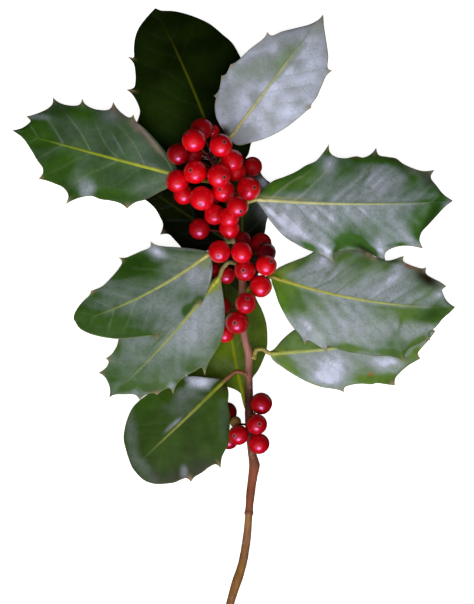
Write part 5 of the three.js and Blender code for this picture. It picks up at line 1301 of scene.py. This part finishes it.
twigFinish = {
    # colour of the bark along the twig: y in mm and the colour there; the dark bands from -40 to -29 are
    # painted shade, where the twig runs under the leaves and berries
    "bands": [[-112, "#8C602E"], [-101, "#96692C"], [-96, "#8E6036"], [-84, "#A0704A"], [-80, "#A0743E"],
              [-77, "#8C4C2E"], [-62, "#965032"], [-57, "#84503A"], [-40, "#5A3020"], [-34, "#3C2014"],
              [-29, "#5A3A2A"], [-24, "#8A5C48"], [-16, "#B0786A"], [-2, "#A56E64"], [12, "#94604E"]],
    "wart": "#A07E6C", "joint": "#6A4232", "grainSize": 0.9, "grainStretch": 0.16, "grainDepth": 0.1,
    "wood": ["#D8CBA6", "#BFAE86"], "woodGrain": 0.4,
}


def barkMaterial():
    # Young holly bark: thin, smooth and slightly waxy, purplish towards the growing end and olive brown
    # lower down, with pale warts and fine lengthwise furrows
    finish = twigFinish
    material, tree, shader, place = newMaterial(
        "holly_bark_young", {"IOR": 1.45, "Specular IOR Level": 0.35, "Roughness": 0.55})
    wart, joint = (addNode(tree, "Attribute", {}, attribute_name=name).outputs["Fac"]
                   for name in ("wart", "joint"))
    split = addNode(tree, "SeparateXYZ", {0: place})
    stretched = addNode(tree, "VectorMath", {0: place, 1: (1.0, finish["grainStretch"], 1.0)},
                        operation="MULTIPLY")
    grain = addNode(tree, "TexNoise", {"Vector": stretched.outputs[0],
                                       "Scale": scaleFor(finish["grainSize"]),
                                       "Detail": 5, "Roughness": 0.65})
    first, *others = finish["bands"]
    colour = addNode(tree, "Mix", {0: 1.0, 6: rgba(first[1]), 7: rgba(first[1])}, data_type="RGBA")
    for before, (y, shade) in zip(finish["bands"], others):
        reached = addNode(tree, "MapRange", {0: split.outputs[1], 1: before[0] * mm, 2: y * mm})
        colour = addNode(tree, "Mix", {0: reached.outputs[0], 6: colour.outputs[2], 7: rgba(shade)},
                         data_type="RGBA")
    for cover, name in [(joint, "joint"), (wart, "wart")]:
        colour = addNode(tree, "Mix", {0: cover, 6: colour.outputs[2], 7: rgba(finish[name])},
                         data_type="RGBA")
    shade = addNode(tree, "MapRange", {0: grain.outputs["Fac"], 1: 0.3, 2: 0.7, 3: 0.72, 4: 1.25})
    colour = addNode(tree, "VectorMath", {0: colour.outputs[2], 3: shade.outputs[0]}, operation="SCALE")
    bump = addNode(tree, "Bump", {"Height": grain.outputs["Fac"], "Distance": finish["grainDepth"] * mm,
                                  "Strength": 0.7})
    setInputs(tree, shader, {"Base Color": colour.outputs[0], "Normal": bump.outputs[0]})
    return material


def cutWoodMaterial():
    # Freshly cut holly wood: very pale, close-grained and dull
    material, tree, shader, place = newMaterial(
        "holly_wood_cut", {"IOR": 1.45, "Specular IOR Level": 0.2, "Roughness": 0.8})
    grain = addNode(tree, "TexNoise", {"Vector": place, "Scale": scaleFor(twigFinish["woodGrain"]),
                                       "Detail": 3})
    pale, dark = (rgba(colour) for colour in twigFinish["wood"])
    colour = addNode(tree, "Mix", {0: grain.outputs["Fac"], 6: pale, 7: dark}, data_type="RGBA")
    setInputs(tree, shader, {"Base Color": colour.outputs[2]})
    return material


twigMaterials = [barkMaterial(), cutWoodMaterial()]
makeTwig(twigMaterials)
print("twig made")

# Growing end and bare stalks
endShape = {
    "bud": [[-8.9, 62.9, 17.4, 1.1], [-9.3, 63.7, 17.9, 1.3], [-9.8, 64.7, 18.5, 1.1],
            [-10.2, 65.5, 19.1, 0.7], [-10.5, 66.0, 19.6, 0.2]],
    "budSides": 20, "budFineness": 6, "scaleRows": 12, "scaleColumns": 9,
    "scaleTurns": [0.2, 0.9, 1.7, 2.4, 3.1, 3.9, 4.6, 5.2, 5.8], "scaleFoot": 0.9, "scaleLength": 3.6,
    "scaleWidth": 0.5, "scaleCurl": 0.5, "scaleSpread": 1.5, "scaleThickness": 0.12,
    "bareStalks": [[-3.6, 31.4, 19.6, 33.5], [-0.6, 30.6, 19.8, 31.5]],  # its end, and its Y on the twig
    "budColours": ["#4A161A", "#6E2A34"], "scaleColours": ["#B890A4", "#F0DCE6"],
    "calyxColours": ["#9A7A5A", "#C8B08A"], "fleckSize": 0.7,
}


def scaleShell(base, tip, normal):
    # A pointed sheet from base to tip: half width * sin(pi t)^0.7 * (1.2 - 0.5 t), cupped by
    # curl * share^2 * half width and arched by a quarter of curl * sin(pi t)
    width, curl = endShape["scaleWidth"], endShape["scaleCurl"]
    t = np.linspace(0, 1, endShape["scaleRows"])[:, None]
    share = np.linspace(-1, 1, endShape["scaleColumns"])[None]
    along = tip - base
    side = unit(np.cross(along, normal))
    normal = unit(np.cross(side, along))
    half = width / 2 * np.sin(np.pi * np.clip(t, 0.03, 0.97)) ** 0.7 * (1.2 - 0.5 * t)
    height = curl * share ** 2 * half + 0.25 * curl * np.sin(np.pi * t)
    sheet = base + t[..., None] * along + (share * half)[..., None] * side + height[..., None] * normal
    back = sheet - endShape["scaleThickness"] * normal
    ring = np.concatenate([sheet, back[:, ::-1]], axis=1)
    poles = [np.broadcast_to(ring[i].mean(axis=0), (1, *ring.shape[1:])) for i in (0, -1)]
    return shell(np.concatenate([poles[0], ring, poles[1]]), 1)


def makeEnd(materials):
    # The bud is a short tube that narrows to a point, and narrow dry scales stand off it all round
    path = np.array(endShape["bud"])
    line = smoothPath(path, endShape["budFineness"])
    parts = [shell(tube(line[:, :3], line[:, 3], endShape["budSides"], [0, 1, -1]), 0)]
    heading = unit(path[-1, :3] - path[0, :3])
    first, second = acrossOf(heading)
    for turn in endShape["scaleTurns"]:
        outwards = np.cos(turn) * first + np.sin(turn) * second
        base = path[1, :3] + endShape["scaleFoot"] * outwards
        lean = unit(heading + [0, 0, 1] + endShape["scaleSpread"] * outwards)
        parts.append(scaleShell(base, base + endShape["scaleLength"] * lean, outwards))
    return makePiece("holly_terminal_bud", parts, materials, ["terminal_bud"])


def makeBareStalk(name, row, materials):
    # A stalk that has lost its berry: straight, and it widens into the dry calyx, a cup with four pointed
    # lobes, radius + width * ease(t) * (0.75 + 0.25 cos(4 angle))
    shape = stalkShape
    *end, start = row
    end = np.array(end, float)
    seat = seatOn(start, end, shape["seatDepth"])
    t = np.linspace(0, 1, shape["bareSteps"])[:, None]
    angle = onceRound(shape["bareSides"])[None]
    cup = shape["cupWidth"] * ease(t, *shape["cupShares"]) * (0.75 + 0.25 * np.cos(4 * angle))
    heading = unit(end - seat)
    rings = tube(seat + t * (end - seat), np.full(len(t), 0.001), shape["bareSides"], acrossOf(heading)[0],
                 shape["radius"] + cup)
    rings[-1] = end - shape["cupDepth"] * heading
    return makePiece("holly_" + name, [shell(rings, 0)], materials, [name])


def dryMaterial(name, colours):
    # Dry scales, bud and calyx: papery and flecked, quite matt
    material, tree, shader, place = newMaterial(
        name, {"IOR": 1.4, "Specular IOR Level": 0.2, "Roughness": 0.8})
    grain = addNode(tree, "TexNoise", {"Vector": place, "Scale": scaleFor(endShape["fleckSize"]),
                                       "Detail": 4})
    share = addNode(tree, "MapRange", {0: grain.outputs["Fac"], 1: 0.38, 2: 0.62})
    dark, pale = (rgba(colour) for colour in colours)
    colour = addNode(tree, "Mix", {0: share.outputs[0], 6: dark, 7: pale}, data_type="RGBA")
    setInputs(tree, shader, {"Base Color": colour.outputs[2]})
    return material


makeEnd([dryMaterial("holly_bud_dry_crimson", endShape["budColours"]),
         dryMaterial("holly_scale_dry_lilac", endShape["scaleColours"])])
calyx = [dryMaterial("holly_calyx_dry_tan", endShape["calyxColours"])]
for number, row in enumerate(endShape["bareStalks"], 1):
    makeBareStalk(f"bare_stalk_{number}", row, calyx)
print("growing end made")

# Stage: floor, light and camera
stage = {
    "floorSize": 3.0, "floorDrop": 0.2, "floorColour": "#F7F6F4", "floorGlow": 0.86,
    "worldColour": "#FFFFFF", "worldStrength": 0.065,
    # the camera looks at this place, and the view is this high, in mm at the reference height
    "view": (1.0, 6.0), "reference": 17.0, "frameHeight": 241.6, "lens": 1000.0, "sensor": 36.0,
    "seenUpTo": 20,  # metres
}
# Softboxes: one over the sprig and one in front light it, and a window in the front one only gives
# highlights. Each has a tilt from straight up towards the cut end, a turn to the left, a width and a height
# in degrees as the sprig sees it, and a brightness.
softboxes = {
    "over": {"tilt": 28, "turn": 0, "spread": (76, 76), "brightness": 1.5,
             "colour": "#FFFFFF", "glossy": False},
    "front": {"tilt": 57, "turn": 20, "spread": (56, 46), "brightness": 2.33,
              "colour": "#FFFFFF", "glossy": False},
    "window": {"tilt": 56, "turn": 0, "spread": (34, 27), "brightness": 9.5,
               "colour": "#F0A2FF", "glossy": True},
}
softboxDistance = 3.0


def makeFloor():
    # One flat square just under the lowest leaf
    half, drop = stage["floorSize"] / 2, -stage["floorDrop"] * mm
    mesh = bpy.data.meshes.new("floor")
    corners = [(-half, -half, drop), (half, -half, drop), (half, half, drop), (-half, half, drop)]
    mesh.from_pydata(corners, [], [(0, 1, 2, 3)])
    # Painted board: pale, dull and evenly lit, so it shows only faint soft shadows
    mesh.materials.append(newMaterial("studio_floor_matt", {
        "Base Color": rgba(stage["floorColour"]), "Roughness": 0.9, "Specular IOR Level": 0.0,
        "Emission Color": (1, 1, 1, 1), "Emission Strength": stage["floorGlow"]})[0])
    floor = bpy.data.objects.new("floor", mesh)
    floor.visible_glossy = False
    floor.visible_diffuse = False
    bpy.context.scene.collection.objects.link(floor)


def makeSoftbox(name, box):
    # An oval light that faces the sprig. Its power is brightness * pi * area, and the area is
    # pi / 4 * width * height
    tilt, turn = np.radians(box["tilt"]), np.radians(box["turn"])
    light = bpy.data.lights.new(name, "AREA")
    light.shape = "ELLIPSE"
    light.size, light.size_y = (2 * softboxDistance * np.tan(np.radians(spread) / 2)
                                for spread in box["spread"])
    light.energy = box["brightness"] * np.pi * np.pi / 4 * light.size * light.size_y
    light.color = toLinear(box["colour"])
    lamp = bpy.data.objects.new(name, light)
    aside = softboxDistance * np.sin(tilt)
    lamp.location = (-aside * np.sin(turn), -aside * np.cos(turn),
                     softboxDistance * np.cos(tilt) + stage["reference"] * mm)
    lamp.rotation_euler = (tilt, 0, -turn)
    lamp.visible_camera = False
    lamp.visible_glossy = box["glossy"]
    lamp.visible_diffuse = not box["glossy"]
    bpy.context.scene.collection.objects.link(lamp)


def makeWorld():
    # A weak even light from all round, which the gloss doesn't mirror
    world = bpy.data.worlds.new("studio")
    bpy.context.scene.world = world
    world.use_nodes = True
    background = world.node_tree.nodes["Background"]
    background.inputs["Color"].default_value = rgba(stage["worldColour"])
    background.inputs["Strength"].default_value = stage["worldStrength"]
    world.cycles_visibility.glossy = False


def makeCamera():
    # Straight down over the middle of the view; distance = lens * frame height / sensor height
    optics = bpy.data.cameras.new("camera")
    optics.lens = stage["lens"]
    optics.sensor_width = optics.sensor_height = stage["sensor"]
    optics.clip_end = stage["seenUpTo"]
    camera = bpy.data.objects.new("camera", optics)
    distance = stage["lens"] * stage["frameHeight"] / stage["sensor"]
    camera.location = (stage["view"][0] * mm, stage["view"][1] * mm, (stage["reference"] + distance) * mm)
    bpy.context.scene.collection.objects.link(camera)
    bpy.context.scene.camera = camera


makeFloor()
for name, box in softboxes.items():
    makeSoftbox(name, box)
makeWorld()
makeCamera()
bpy.context.scene.view_settings.view_transform = "Standard"
print("stage set")
